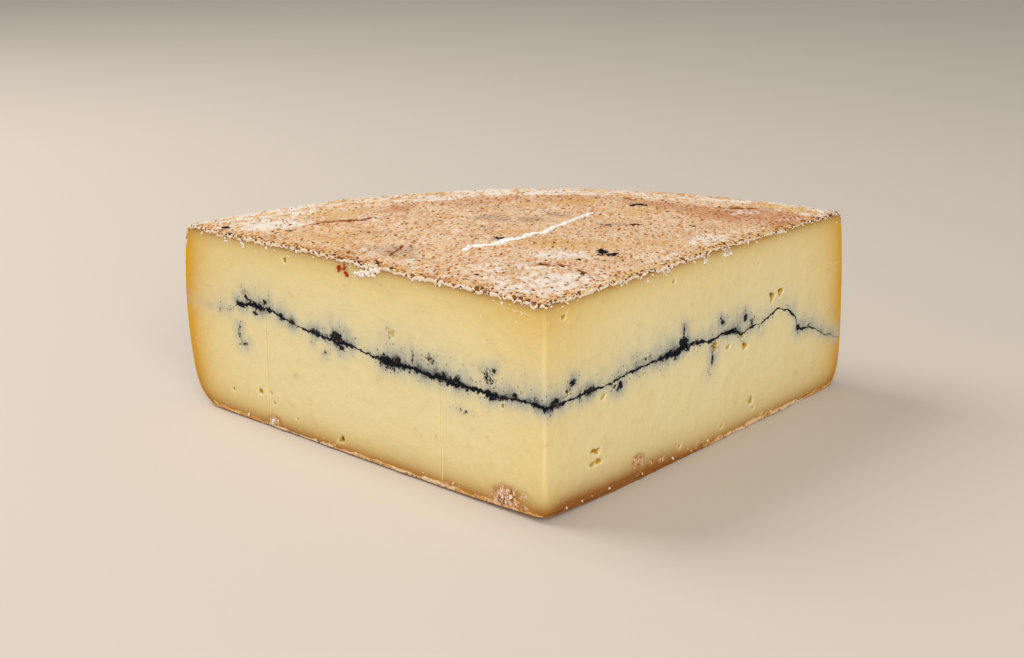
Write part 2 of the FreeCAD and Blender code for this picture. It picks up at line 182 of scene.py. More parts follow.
# Tints of the top: kind, x, y, half length, half width, turn in degrees and strength.
TINTS = [
    ("bloom", 0, -66, 20, 13, 0, 0.9), ("bloom", -4, -45, 16, 12, 0, 0.6),
    ("bloom", 11, -30, 11, 7, 0, 0.95), ("bloom", -94, 32, 17, 13, -40, 1),
    ("bloom", -45, -30, 22, 9, -45, 0.45), ("bloom", 61, -13, 11, 7, 30, 0.75),
    ("bloom", -8, -77, 12, 9, 0, 0.5), ("bloom", 12, -60, 12, 9, 20, 0.7),
    ("bloom", -62, 34, 10, 5, 0, 0.6), ("bloom", -30, -50, 12, 6, -45, 0.5),
    ("bloom", 100, 20, 8, 4, 45, 0.4), ("bloom", 42, -36, 14, 6, 45, 0.35),
    ("bloom", -26, 2, 12, 9, 0, 0.2), ("bloom", 80, 33, 10, 5, -20, 0.55),
    ("rust", -66, 29, 17, 3, 24, 1), ("rust", -44, 50, 11, 5, 60, 0.75),
    ("rust", -16, 60, 22, 9, 5, 0.55), ("rust", 20, 60, 18, 9, 0, 0.55),
    ("rust", 58, 44, 20, 8, -35, 0.75), ("rust", 84, 24, 26, 14, -30, 0.85),
    ("rust", 96, 25, 8, 5, 0, 0.7), ("rust", 82, 38, 12, 2.6, -14, 0.9),
    ("rust", 5, -43, 9, 3.2, -8, 0.75), ("rust", 14, -51, 4, 7, 30, 0.5),
    ("rust", -110, 30, 8, 3, -45, 0.5), ("rust", -70, 6, 8, 3, -45, 0.4),
    ("rust", 40, 5, 36, 24, 0, 0.22), ("rust", -60, -18, 6, 3, -45, 0.5),
    ("rust", 12, -12, 26, 3, -12, 0.35), ("rust", 50, 62, 14, 4, -30, 0.5),
    ("rust", 92, 45, 10, 2.5, -35, 0.5), ("rust", 20, 75, 30, 3, 0, 0.3),
    ("gold", 22, 54, 9, 7, 0, 0.9), ("gold", 5, 50, 7, 6, 0, 0.6),
    ("gold", 14, -15, 22, 7, -10, 0.75), ("gold", 46, -16, 18, 8, -20, 0.5),
    ("gold", -64, 5, 16, 12, -20, 0.7), ("gold", -68, 43, 14, 6, 10, 0.7),
    ("gold", -28, -8, 14, 9, 0, 0.3), ("gold", 45, 36, 11, 9, 0, 0.7),
    ("gold", 0, 9, 12, 8, 0, 0.4), ("gold", -40, -6, 14, 8, 0, 0.3),
    ("gold", 20, 22, 16, 10, 0, 0.3), ("gold", -4, 80, 26, 4, 0, 0.5),
    ("gold", -60, 72, 20, 3, 25, 0.5), ("gold", 110, 34, 9, 5, 45, 0.4),
    ("grey", -11, 28, 8, 7, 0, 0.8), ("grey", -12, 13, 5, 4, 0, 0.5),
    ("grey", 4, 26, 6, 5, 0, 0.6), ("grey", -46, -18, 11, 10, -30, 0.6),
    ("grey", -42, -29, 5, 4, 0, 0.6), ("grey", 14, 34, 6, 5, 0, 0.6),
    ("grey", -54, 8, 9, 7, 0, 0.4), ("grey", -9, -4, 5, 5, 0, 0.8),
    ("grey", 31, 12, 10, 4, 0, 0.6), ("grey", -18, 52, 12, 6, 0, 0.4),
    ("grey", -4, 45, 8, 5, 0, 0.4), ("grey", -88, 10, 8, 5, -45, 0.4),
    ("grey", 32, 66, 6, 4, 0, 0.5), ("grey", 95, 37, 3, 3, 0, 0.7),
    ("soot", 24.5, -26, 1.6, 2.6, 20, 1), ("soot", 27.5, -30, 2.6, 1.6, 40, 1),
    ("soot", 23.5, -30.5, 1.6, 1, 0, 0.9), ("soot", 44.5, 47, 2.6, 1.2, 50, 1),
    ("soot", 47.5, 46.5, 1.3, 2.6, 10, 1), ("soot", 41, 13.2, 2.2, 1.2, 0, 0.9),
    ("soot", 29.5, 12, 2.4, 1.3, -30, 0.75), ("soot", 60.5, 9, 2, 1.2, -30, 0.7),
    ("soot", -9, -4, 1.6, 2.8, 10, 0.95), ("soot", -83, 16.4, 1.6, 1.2, 0, 0.9),
    ("soot", -106.5, 26, 1.5, 2, 0, 1), ("soot", -104.5, 16.5, 1.5, 1, -40, 0.9),
    ("soot", 15, -37, 1, 1, 0, 0.9), ("soot", 95, 36.5, 1.2, 1.5, 0, 0.8),
    ("soot", -12, 28.5, 2.6, 2, 0, 0.45), ("soot", 4, 25.5, 1.6, 1.6, 0, 0.45),
    ("soot", -18.5, -52.5, 1.2, 1.8, 0, 0.7), ("soot", 5, 57, 0.7, 3.2, -10, 0.6),
    ("soot", -22, -57, 1.4, 1, 40, 0.8), ("soot", 25, 6, 1.1, 1, 0, 0.5),
]
# Cracks in the top: depth, half width and the points that each one runs through.
CRACKS = [
    (1.5, 0.35, [(-42.5, -10), (-42.8, -15), (-45.5, -20), (-47.5, -26)]),
    (1.6, 0.4, [(-51.8, -29), (-50.4, -32), (-50.2, -36)]),
    (1.0, 0.8, [(1.5, -40), (3.5, -42.6), (7.5, -43), (10.5, -44.2)]),
    (0.8, 0.6, [(13, -49), (15, -52), (14.6, -55)]),
    (0.5, 0.7, [(-79, 25), (-70, 27), (-63, 29.5), (-52, 35)]),
    (0.5, 0.7, [(74, 41), (82, 38.5), (91, 36.5)]),
    (0.35, 0.5, [(40, 62), (46, 57), (50, 60)]),
]
# The pale scrape across the top: the points that it runs through.
STREAK = [
    (-21.5, -20.5), (-20, -17), (-11.5, -13), (-6, -8), (7, 3.5), (12, 12), (20, 22.5), (26.5, 31.5),
]
# The larger crumbs: side, reach, height, size, kind (0 cream, 1 golden, 2 red) and how many small
# lumps make it up.
LARGE_CRUMBS = [
    (LEFT, 71, 69.4, 1.1, 0, 9), (LEFT, 73, 68.4, 1.3, 0, 12), (LEFT, 75.5, 67.4, 1.3, 0, 12),
    (LEFT, 78, 67, 1.2, 0, 10), (LEFT, 80.5, 66.4, 1, 0, 7), (LEFT, 82, 66, 0.8, 0, 5),
    (LEFT, 89.7, 66.4, 0.9, 2, 5), (LEFT, 86.8, 66.6, 1, 2, 6), (LEFT, 86, 65, 0.9, 2, 5),
    (LEFT, 86, 64, 0.5, 0, 2), (LEFT, 148.6, 66.2, 0.6, 0, 3), (LEFT, 148.4, 65.1, 0.55, 0, 2),
    (LEFT, 115.3, 66.2, 0.5, 0, 2), (LEFT, 118, 64.3, 0.4, 1, 2), (LEFT, 140, 66.8, 0.8, 0, 4),
    (LEFT, 8.9, 67.1, 0.45, 0, 2), (LEFT, 128, 2.2, 0.9, 0, 5), (LEFT, 142, 2.4, 0.6, 0, 3),
    (LEFT, 14, 5.6, 0.8, 0, 6), (LEFT, 17, 4.6, 0.6, 0, 4), (LEFT, 11, 5, 0.6, 1, 4),
    (RIGHT, 81.5, 67.8, 0.9, 0, 6), (RIGHT, 93.5, 67.3, 1.0, 0, 7), (RIGHT, 96.5, 67.6, 0.8, 0, 5),
    (RIGHT, 61, 68.6, 0.7, 0, 4), (RIGHT, 107, 69, 0.7, 0, 4), (RIGHT, 37, 69, 0.5, 0, 3),
    (RIGHT, 164.2, 49.9, 0.3, 0, 1), (RIGHT, 27.8, 9.2, 0.35, 1, 2), (RIGHT, 47, 8.4, 0.6, 1, 4),
    (RIGHT, 54.4, 3.9, 0.5, 1, 3), (RIGHT, 60.5, 3.2, 0.5, 1, 3), (RIGHT, 44.5, 5.2, 0.6, 1, 4),
]
# Threads of rind that hang from the top's edge: side, reach and how many.
HANGING = [
    (RIGHT, 81.5, 5), (RIGHT, 93, 7), (RIGHT, 96, 4), (RIGHT, 61, 5), (RIGHT, 57, 3), (LEFT, 84, 3),
    (LEFT, 111, 3), (LEFT, 147, 2),
]


# ---- Numbers over a surface ----------------------------------------------------------------------


def ease(low, high, value):
    """0 below low, 1 above high and a smooth rise between them."""
    part = np.clip((value - low) / (high - low), 0, 1)
    return part * part * (3 - 2 * part)


def between(start, end, share):
    """The value at this share of the way from start to end."""
    return start + (end - start) * share


def noise(places, lump, seed):
    """Smooth random values from -1 to 1 at places, in lumps of about this size."""
    side = 32
    lattice = np.random.default_rng(seed).uniform(-1, 1, (side, side, side))
    scaled = np.asarray(places) / lump
    cell = np.floor(scaled).astype(int)
    part = scaled - cell
    part = part * part * (3 - 2 * part)
    total = np.zeros(scaled.shape[:-1])
    for corner in np.ndindex(2, 2, 2):
        weight = np.prod(np.where(corner, part, 1 - part), axis=-1)
        x, y, z = np.moveaxis((cell + corner) % side, -1, 0)
        total += weight * lattice[x, y, z]
    return total


def rough(places, lump, seed, layers=3):
    """Noise with finer noise on it: each layer has half the lump and half the height."""
    return sum(noise(places, lump / 2**k, seed + k) / 2**k for k in range(layers))


def dents(x, y, pitch, share, smallest, largest, seed):
    """How deep places lie in scattered dents: 1 in the middle of a dent and 0 outside them all.

    Each square of this pitch has one dent, with this share of chance.
    """
    side = 64
    draw = np.random.default_rng(seed).random((side, side, 5))
    column, row = np.floor(x / pitch).astype(int), np.floor(y / pitch).astype(int)
    deepest = np.zeros(x.shape)
    for right, up in np.ndindex(3, 3):
        pick = draw[(column + right - 1) % side, (row + up - 1) % side]
        across = x / pitch - (column + right - 1) - pick[..., 0]
        along = y / pitch - (row + up - 1) - pick[..., 1]
        radius = between(smallest, largest, pick[..., 2] ** 2) / pitch
        gap = np.hypot(across * (0.7 + 0.6 * pick[..., 4]), along) / radius
        deepest = np.maximum(deepest, np.where(pick[..., 3] < share, 1 - gap**2, 0))
    return deepest


def oval(u, v, middle_u, middle_v, half_u, half_v, turn):
    """How far places lie from the middle of a turned oval: 1 is its edge."""
    angle = math.radians(turn)
    along = (u - middle_u) * math.cos(angle) + (v - middle_v) * math.sin(angle)
    across = (v - middle_v) * math.cos(angle) - (u - middle_u) * math.sin(angle)
    return np.hypot(along / half_u, across / half_v)


def line_gap(u, v, points):
    """Distance from each place to a line through points, signed by side, and the share along it."""
    nearest = np.full(u.shape, np.inf)
    signed = np.zeros(u.shape)
    along = np.zeros(u.shape)
    for step, ((u0, v0), (u1, v1)) in enumerate(zip(points, points[1:])):
        run_u, run_v = u1 - u0, v1 - v0
        length = math.hypot(run_u, run_v)
        share = np.clip(((u - u0) * run_u + (v - v0) * run_v) / length**2, 0, 1)
        gap = np.hypot(u - u0 - share * run_u, v - v0 - share * run_v)
        side = np.where((u - u0) * run_v - (v - v0) * run_u < 0, -1, 1)
        signed = np.where(gap < nearest, gap * side, signed)
        along = np.where(gap < nearest, (step + share) / (len(points) - 1), along)
        nearest = np.minimum(gap, nearest)
    return signed, along


# ---- The wheel's shape ---------------------------------------------------------------------------


def on_side(rows, side):
    """The rows of a table that belong to one cut: each row starts with its side."""
    return [row for row in rows if row[0] == side]


def share_of(turn):
    """0 at the left cut and 1 at the right one, for an angle about the wheel's axis."""
    return 0.5 + turn / (2 * HALF_TURN)


def side_radius(turn, height):
    """The wheel's radius: its side bulges, and turns in at the foot."""
    share = share_of(turn)
    bulge = between(38, 14, share)
    curve = between(145, 345, share)
    foot = between(9.6, 6.5, share)
    widest = WHEEL_RADIUS - 1.2 * ease(0.7, 1, share)
    return widest - (height - bulge) ** 2 / (2 * curve) - foot * np.exp(-height / 3.5)


def flat(x, y):
    """Places in the plane of the base, for noise that doesn't change with height."""
    return np.stack([x, y, np.zeros(x.shape)], axis=-1)


def top_height(x, y):
    """Height of the wheel's upper side: it sinks a little towards the rim."""
    reach = np.hypot(x, y - AXIS_Y)
    return HEIGHT - 2.6 * (reach / WHEEL_RADIUS) ** 2 + 0.3 * noise(flat(x, y), 34, 11) - 0.25


def base_height(x, y):
    """Height of the wheel's underside: it lifts at the pointed edge, and a little at the cuts."""
    reach = np.hypot(x, y - AXIS_Y)
    cut_gap = (y - AXIS_Y - abs(x)) * math.cos(HALF_TURN)
    left = 0.6 + 0.55 * np.exp(-((reach / 40) ** 2))
    right = 0.15 + 0.8 * np.exp(-((reach / 28) ** 2))
    cut = between(left, right, ease(-20, 20, x)) * np.exp(-((np.maximum(cut_gap, 0) / 13) ** 4))
    return 0.9 * np.exp(-((reach / 18) ** 2)) + cut


def place(turn, reach, height):
    """The point at an angle about the wheel's axis, a distance from it and a height."""
    turn, reach, height = np.broadcast_arrays(turn, reach, height)
    return np.stack([reach * np.sin(turn), AXIS_Y + reach * np.cos(turn), height], axis=-1)


def level_place(turn, reach):
    """x and y at an angle about the wheel's axis and a distance from it."""
    return np.moveaxis(place(turn, reach, 0.0), -1, 0)[:2]


def rounded(points):
    """Points with the sharp upright edge between the two cuts made round, more so at the foot."""
    points = np.array(points)
    radius = 1.3 + 5 * np.exp(-np.maximum(points[..., 2], 0) / 4)
    x = np.minimum(abs(points[..., 0]), radius * math.sin(HALF_TURN))
    limit = AXIS_Y + radius * math.sqrt(2) - np.sqrt(radius**2 - x**2)
    points[..., 1] = np.maximum(points[..., 1], limit)
    return points


def level_out(turn):
    """The level direction away from the wheel's axis, at an angle about it."""
    return np.stack([np.sin(turn), np.cos(turn), 0 * turn], axis=-1)


def thread(count):
    """How high the cloth's threads press: 1 on the middle of each whole-numbered thread."""
    return (0.5 + 0.5 * np.cos(math.tau * count)) ** 2


def cut_normal(side):
    """The direction that a cut face looks in."""
    return np.array([side * math.cos(HALF_TURN), -math.sin(HALF_TURN), 0])


def quarter_place(a, b):
    """Where a point of the unit square goes on the quarter disc: distance (0 to 1) and angle.

    The square's edge with b = 0 is the right cut, and the one with a = 0 is the left cut.
    """
    large, small = np.maximum(a, b), np.minimum(a, b)
    fan = HALF_TURN * small / np.maximum(large, 1e-9)
    return large, np.where(a >= b, HALF_TURN - fan, fan - HALF_TURN)


# ---- Meshes --------------------------------------------------------------------------------------


def unit_grid(rows, columns):
    """An even grid of points over the unit square, edges and all."""
    return np.meshgrid(np.linspace(0, 1, rows + 1), np.linspace(0, 1, columns + 1), indexing="ij")


def inner_grid(rows, columns):
    """The points of such a grid that aren't on its edges, in two flat lists."""
    return [part[1:-1, 1:-1].ravel() for part in unit_grid(rows, columns)]


def grid_faces(index):
    """Quads over a grid of point numbers: they face up where rows and columns turn left."""
    return np.stack([index[:-1, :-1], index[1:, :-1], index[1:, 1:], index[:-1, 1:]], -1).reshape(-1, 4)


def border(index):
    """The point numbers round a grid, turning left: first column, last row and back."""
    return np.concatenate([index[:-1, 0], index[-1, :-1], index[:0:-1, -1], index[0, :0:-1]])


def band(lower, upper):
    """Quads between two closed loops of as many points."""
    after = np.roll(lower, -1), np.roll(upper, -1)
    return np.stack([lower, after[0], after[1], upper], axis=-1)


def fill(outline, inner):
    """Triangles that close an outline, with inner points: numbers count the outline's points first."""
    count = len(outline)
    points = [Vector(p) for p in np.concatenate([outline, inner])]
    edges = [(k, (k + 1) % count) for k in range(count)]
    made = geometry.delaunay_2d_cdt(points, edges, [], 1, 1e-7, True)
    if any(len(origin) != 1 for origin in made[3]):
        raise RuntimeError("the cap's outline crosses itself")
    origin = np.array(made[3]).ravel()
    return origin[np.array(made[2])]


class Shell:
    """The points, faces and marks of one piece, in the order they are made."""

    def __init__(self):
        self.points = []
        self.faces = []
        self.marks = {}
        self.count = 0

    def add(self, points, **marks):
        """Adds points with their marks, and gives their numbers in the same layout."""
        points = np.asarray(points)
        index = np.arange(self.count, self.count + points[..., 0].size).reshape(points.shape[:-1])
        self.points.append(points.reshape(-1, 3))
        for name in {**marks, **self.marks}:
            values = np.broadcast_to(marks.get(name, 0), index.shape).ravel()
            known = self.marks.setdefault(name, [np.zeros(self.count)] if self.count else [])
            known.append(values)
        self.count += index.size
        return index

    def join(self, *groups):
        """Adds faces: arrays of point numbers, with one face in each row."""
        self.faces.extend(np.asarray(group) for group in groups if len(group))

    def rim(self, loop, inward, outward, thickness, lips, **marks):
        """Walls from a loop: each lip is a share of the thickness and how far it stands out."""
        start = np.concatenate(self.points)[loop]
        marks = {**{name: np.concatenate(known)[loop] for name, known in self.marks.items()}, **marks}
        for share, proud in lips:
            move = inward * (thickness * share)[:, None] + outward * np.asarray(proud)[..., None]
            ring = self.add(start + move, **{**marks, "deep": share})
            self.join(band(ring, loop))
            loop = ring
        return loop

    def close(self, loop, loop_places, points, places, facing=1):
        """Closes a loop with triangles, by way of more points. Places are where they lie in a plane."""
        triangles = fill(np.stack(loop_places, -1), np.stack(places, -1))
        self.join(np.concatenate([loop, self.add(points)])[triangles][:, ::facing])

    def piece(self, name, material, slot, stands_for=None):
        """Makes the mesh, and puts it on the frame's body."""
        mesh = bpy.data.meshes.new(name)
        mesh.vertices.add(self.count)
        mesh.vertices.foreach_set("co", np.concatenate(self.points).ravel() * MM)
        corners = np.concatenate([group.ravel() for group in self.faces])
        sizes = np.concatenate([np.full(len(group), group.shape[1]) for group in self.faces])
        mesh.loops.add(len(corners))
        mesh.loops.foreach_set("vertex_index", corners.astype(np.int32))
        mesh.polygons.add(len(sizes))
        mesh.polygons.foreach_set("loop_start", (np.cumsum(sizes) - sizes).astype(np.int32))
        for key, values in self.marks.items():
            mark = mesh.attributes.new(key, "FLOAT", "POINT")
            mark.data.foreach_set("value", np.concatenate(values).astype(np.float32))
        mesh.update(calc_edges=True)
        mesh.shade_smooth()
        if mesh.validate():
            raise RuntimeError(f"{name} has faces that can't be used")
        mesh.materials.append(material)
        made = bpy.data.objects.new(name, mesh)
        bpy.context.scene.collection.objects.link(made)
        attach(made, "root")
        if stands_for:
            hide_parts(stands_for)
        return made


# ---- Materials -----------------------------------------------------------------------------------


class Wire:
    """One output of a shader node. Sums on it add Math nodes to its recipe."""

    def __init__(self, recipe, socket):
        self.recipe = recipe
        self.socket = socket

    def maths(self, operation, *values):
        settings = {"operation": operation}
        return self.recipe.node("ShaderNodeMath", settings, dict(enumerate(values)))

    def __add__(self, other):
        return self.maths("ADD", self, other)

    def __radd__(self, other):
        return self.maths("ADD", other, self)

    def __sub__(self, other):
        return self.maths("SUBTRACT", self, other)

    def __rsub__(self, other):
        return self.maths("SUBTRACT", other, self)

    def __mul__(self, other):
        return self.maths("MULTIPLY", self, other)

    def __rmul__(self, other):
        return self.maths("MULTIPLY", other, self)

    def __truediv__(self, other):
        return self.maths("DIVIDE", self, other)

    def __rtruediv__(self, other):
        return self.maths("DIVIDE", other, self)

    def __pow__(self, other):
        return self.maths("POWER", self, other)

    def __abs__(self):
        return self.maths("ABSOLUTE", self)

    def fades(self, reach):
        """1 at zero and fading with distance: about a third is left at this reach."""
        return self.maths("EXPONENT", self / -reach)

    def wave(self):
        """0 to 1 and back once for each whole number."""
        return 0.5 + 0.5 * self.maths("COSINE", self * math.tau)

    def above(self, low, high):
        """0 below low, 1 above high and a smooth rise between."""
        settings = {"interpolation_type": "SMOOTHSTEP"}
        sockets = {"Value": self, "From Min": low, "From Max": high}
        return self.recipe.node("ShaderNodeMapRange", settings, sockets)

    def below(self, low, high):
        """1 below low, 0 above high and a smooth fall between."""
        return 1 - self.above(low, high)

    def most(self, other):
        return self.maths("MAXIMUM", self, other)

    def least(self, other):
        return self.maths("MINIMUM", self, other)


class Recipe:
    """A material's nodes, written as sums of wires. Lumps and lengths are in millimetres."""

    def __init__(self, name):
        self.material = bpy.data.materials.new(name)
        self.material.use_nodes = True
        self.tree = self.material.node_tree
        self.tree.nodes.clear()
        self.place = self.node("ShaderNodeTexCoord", {}, {}, "Object")

    def node(self, kind, settings, sockets, output=0):
        """Adds a node: its settings first, then its sockets' values or wires."""
        made = self.tree.nodes.new(kind)
        for name, value in settings.items():
            setattr(made, name, value)
        for name, value in sockets.items():
            known = [s for s in made.inputs if s.identifier == name]
            socket = known[0] if known else made.inputs[name]
            if isinstance(value, Wire):
                self.tree.links.new(value.socket, socket)
            else:
                socket.default_value = value
        return Wire(self, made.outputs[output]) if made.outputs else None

    def mark(self, name):
        """A value stored on the mesh."""
        return self.node("ShaderNodeAttribute", {"attribute_name": name}, {}, "Fac")

    def noise(self, lump, seed=0, detail=2.0, stretch=(1, 1, 1)):
        """Noise about 0, mostly from -1 to 1, in lumps of this size."""
        scale = [1 / MM / lump / s for s in stretch]
        sockets = {"Vector": self.place, "Location": (seed * 7.3,) * 3, "Scale": scale}
        turned = self.node("ShaderNodeMapping", {}, sockets)
        sockets = {"Vector": turned, "Scale": 1.0, "Detail": detail}
        return 4 * self.node("ShaderNodeTexNoise", {}, sockets) - 2

    def cells(self, lump, seed=0):
        """Distance from the middles of scattered cells, in cells, and a random value of each."""
        sockets = {"Vector": self.place, "Location": (seed * 5.1,) * 3, "Scale": [1 / MM / lump] * 3}
        return self.scattered(self.node("ShaderNodeMapping", {}, sockets))

    def scattered(self, places, randomness=1.0):
        """Scattered cells over any places: distance from a middle, and a random value of each."""
        sockets = {"Vector": places, "Scale": 1.0, "Randomness": randomness}
        made = self.node("ShaderNodeTexVoronoi", {}, sockets)
        colour = Wire(self, made.socket.node.outputs["Color"])
        return made, self.node("ShaderNodeSeparateColor", {}, {"Color": colour})

    def blend(self, share, first, second):
        """A colour between two: the first at share 0 and the second at 1."""
        sockets = {"Factor_Float": share, "A_Color": tinted(first), "B_Color": tinted(second)}
        return self.node("ShaderNodeMix", {"data_type": "RGBA"}, sockets, "Result")

    def bump(self, height, depth):
        """A normal from a height of 0 to 1 over this depth."""
        sockets = {"Height": height, "Strength": 1.0, "Distance": depth * MM}
        return self.node("ShaderNodeBump", {}, sockets)

    def finish(self, colour, roughness, normal=None, **fixed):
        """The surface: what varies is wired, and the rest are plain numbers."""
        sockets = {"Base Color": tinted(colour), "Roughness": roughness}
        if normal:
            sockets["Normal"] = normal
        for name, value in fixed.items():
            sockets[name.replace("_", " ").title().replace("Ior", "IOR")] = value
        surface = self.node("ShaderNodeBsdfPrincipled", {}, sockets)
        self.node("ShaderNodeOutputMaterial", {}, {"Surface": surface})
        return self.material


def tinted(colour):
    """A colour as a socket takes it."""
    return colour if isinstance(colour, Wire) else (*colour[:3], 1)


def paste_material(tints):
    """Pale yellow paste: amber beside the rind, with blue-black ash marks."""
    mix = Recipe("cheese_paste")
    fine = mix.noise(0.5, 1)
    grain = mix.noise(1.4, 2)
    mid = mix.noise(5, 3)
    broad = mix.noise(26, 4)
    rind_gap = mix.mark("rind_gap") + 0.3 * mid + 1.2 * broad
    top_gap = mix.mark("top_gap") + 0.2 * mid
    foot_gap = mix.mark("foot_gap") + 0.5 * mid

    colour = mix.blend(0.5 + 0.35 * broad + 0.12 * mid, tints.paste, tints.paste_deep)
    ripe = (0.62 * top_gap.fades(15) + 0.6 * mix.mark("ripe")).least(0.9)
    colour = mix.blend(ripe, colour, tints.paste_ripe)
    colour = mix.blend(0.6 * rind_gap.fades(14), colour, tints.paste_ripe)
    colour = mix.blend((1.4 * rind_gap.fades(6.5)).least(0.97), colour, tints.amber)
    # Painted shadow under the top rind's overhanging edge, over the paste's own darker crust there.
    colour = mix.blend(0.5 * (top_gap - 1.2).fades(3).least(1), colour, tints.paste_brown_and_shade)
    colour = mix.blend(0.8 * (top_gap - 1.5).fades(1.1).least(1), colour, tints.crust)
    colour = mix.blend(0.5 * foot_gap.fades(9), colour, tints.paste_ripe)
    # Darker brown in the last few millimetres above the foot: the paste's own browning there, with painted
    # shade laid over it.
    brown_foot = 0.6 + 0.4 * mix.mark("brown_foot") + 0.1 * mid
    colour = mix.blend((1.5 * brown_foot * foot_gap.fades(4.5)).least(0.95), colour, tints.paste_brown_and_shade)
    colour = mix.blend((3 * brown_foot * foot_gap.fades(2)).least(0.95), colour, tints.crust)
    foot_brown_and_shade = (mix.mark("brown_foot") - 0.3).most(0) * foot_gap.fades(1.9)
    colour = mix.blend((4.5 * foot_brown_and_shade).least(0.85), colour, tints.rind_brown)
    corner = (rind_gap * 0.9 + foot_gap * 0.25 - 1.4).fades(3).least(1)
    colour = mix.blend(0.9 * corner, colour, tints.crust)
    colour = mix.blend(0.75 * corner ** 2, colour, tints.rind_brown)

    soft = mix.mark("halo") * (1 + 0.4 * mid + 0.12 * grain + 0.3 * mix.noise(2.2, 6, 2.0, (1, 1, 2.5)))
    colour = mix.blend((1.6 * soft).least(0.6), colour, tints.paste_grey)
    colour = mix.blend(soft.least(0.9), colour, tints.ash_halo)
    streaks = mix.noise(0.8, 7, 2.0, (1, 1, 5)).above(0.1, 0.9)
    smoke = 0.7 * soft.above(0.6, 1.0) + 0.4 * streaks * soft
    colour = mix.blend(smoke.least(0.85), colour, tints.ash_smoke)

    wander = 0.18 * grain + 0.12 * fine
    known_half = mix.mark("ash_half")
    half = known_half * (0.95 + 0.95 * mix.noise(1.8, 9)).most(0.14)
    thin = 0.9 * known_half.below(0.04, 0.2)
    line = 1 - thin - 0.5 * abs(mix.mark("ash_gap") + wander) / (half + 0.03)
    ragged = 0.12 * fine + 0.26 * grain + 0.3 * mix.noise(0.9, 8)
    line = line.most(mix.mark("ash_blot"))
    ash = line + ragged
    colour = mix.blend(0.6 * ash.above(0.1, 0.5), colour, tints.ash_smoke)
    solid = ash.above(0.44, 0.54)
    black = mix.blend((soft + line.most(0)).above(0.2, 0.5), tints.ash_brown, tints.ash)
    colour = mix.blend(solid, colour, black)

    gap, chance = mix.cells(1.3, 11)
    dots = gap.below(0.16, 0.26) * (chance + 0.5 * soft).above(0.75, 0.85)
    colour = mix.blend(0.9 * dots * soft.above(0.06, 0.25) * (1 - solid), colour, tints.ash_brown)

    # Painted shade inside the holes, a painted highlight round their rims and painted shadow at the bottom
    # of the deeper ones.
    eye = mix.mark("eye")
    colour = mix.blend(0.4 * mix.mark("eye_rim_highlight"), colour, tints.paste_pale)
    colour = mix.blend(0.95 * eye.above(0.12, 0.42), colour, tints.eye)
    colour = mix.blend(0.85 * (eye + 0.25 * fine).above(0.65, 1.15), colour, tints.eye_shadow)
    spot = (mix.mark("spot") + 0.22 * grain + 0.25 * mid).above(0.2, 0.6)
    ring = (mix.mark("spot") + 0.1 * mid).above(0.02, 0.35)
    colour = mix.blend(0.8 * ring, colour, tints.crust)
    husk = mix.blend(fine.above(-0.2, 0.3), tints.rind_orange, tints.rind_cream)
    colour = mix.blend(0.85 * spot, colour, mix.blend(grain.above(-0.5, 0.1), tints.rind_brown, husk))
    # A painted shadow along one side of each crease and a painted highlight along the other.
    crease = mix.mark("crease") + 0.05 * grain
    plain = mix.mark("crease_share")
    colour = mix.blend(plain * 0.6 * abs(crease + 0.14).below(0.05, 0.3), colour, tints.amber)
    colour = mix.blend(plain * 0.8 * abs(crease - 0.18).below(0.08, 0.3), colour, tints.paste_pale)
    gap, chance = mix.cells(3.3, 13)
    colour = mix.blend(0.6 * gap.below(0.05, 0.12) * chance.above(0.5, 0.6), colour, tints.paste_pale)
    colour = mix.blend(0.5 * gap.below(0.04, 0.1) * chance.below(0.1, 0.2), colour, tints.amber)

    height = 0.1 * fine + 0.3 * grain + 0.8 * mid + 0.35 * solid * fine
    normal = mix.bump(height, 0.1)
    roughness = 0.45 + 0.06 * mid + 0.3 * solid
    return mix.finish(
        colour,
        roughness,
        normal,
        subsurface_weight=0.06,
        subsurface_radius=(1.0, 0.75, 0.35),
        subsurface_scale=0.002,
        specular_ior_level=0.14,
    )


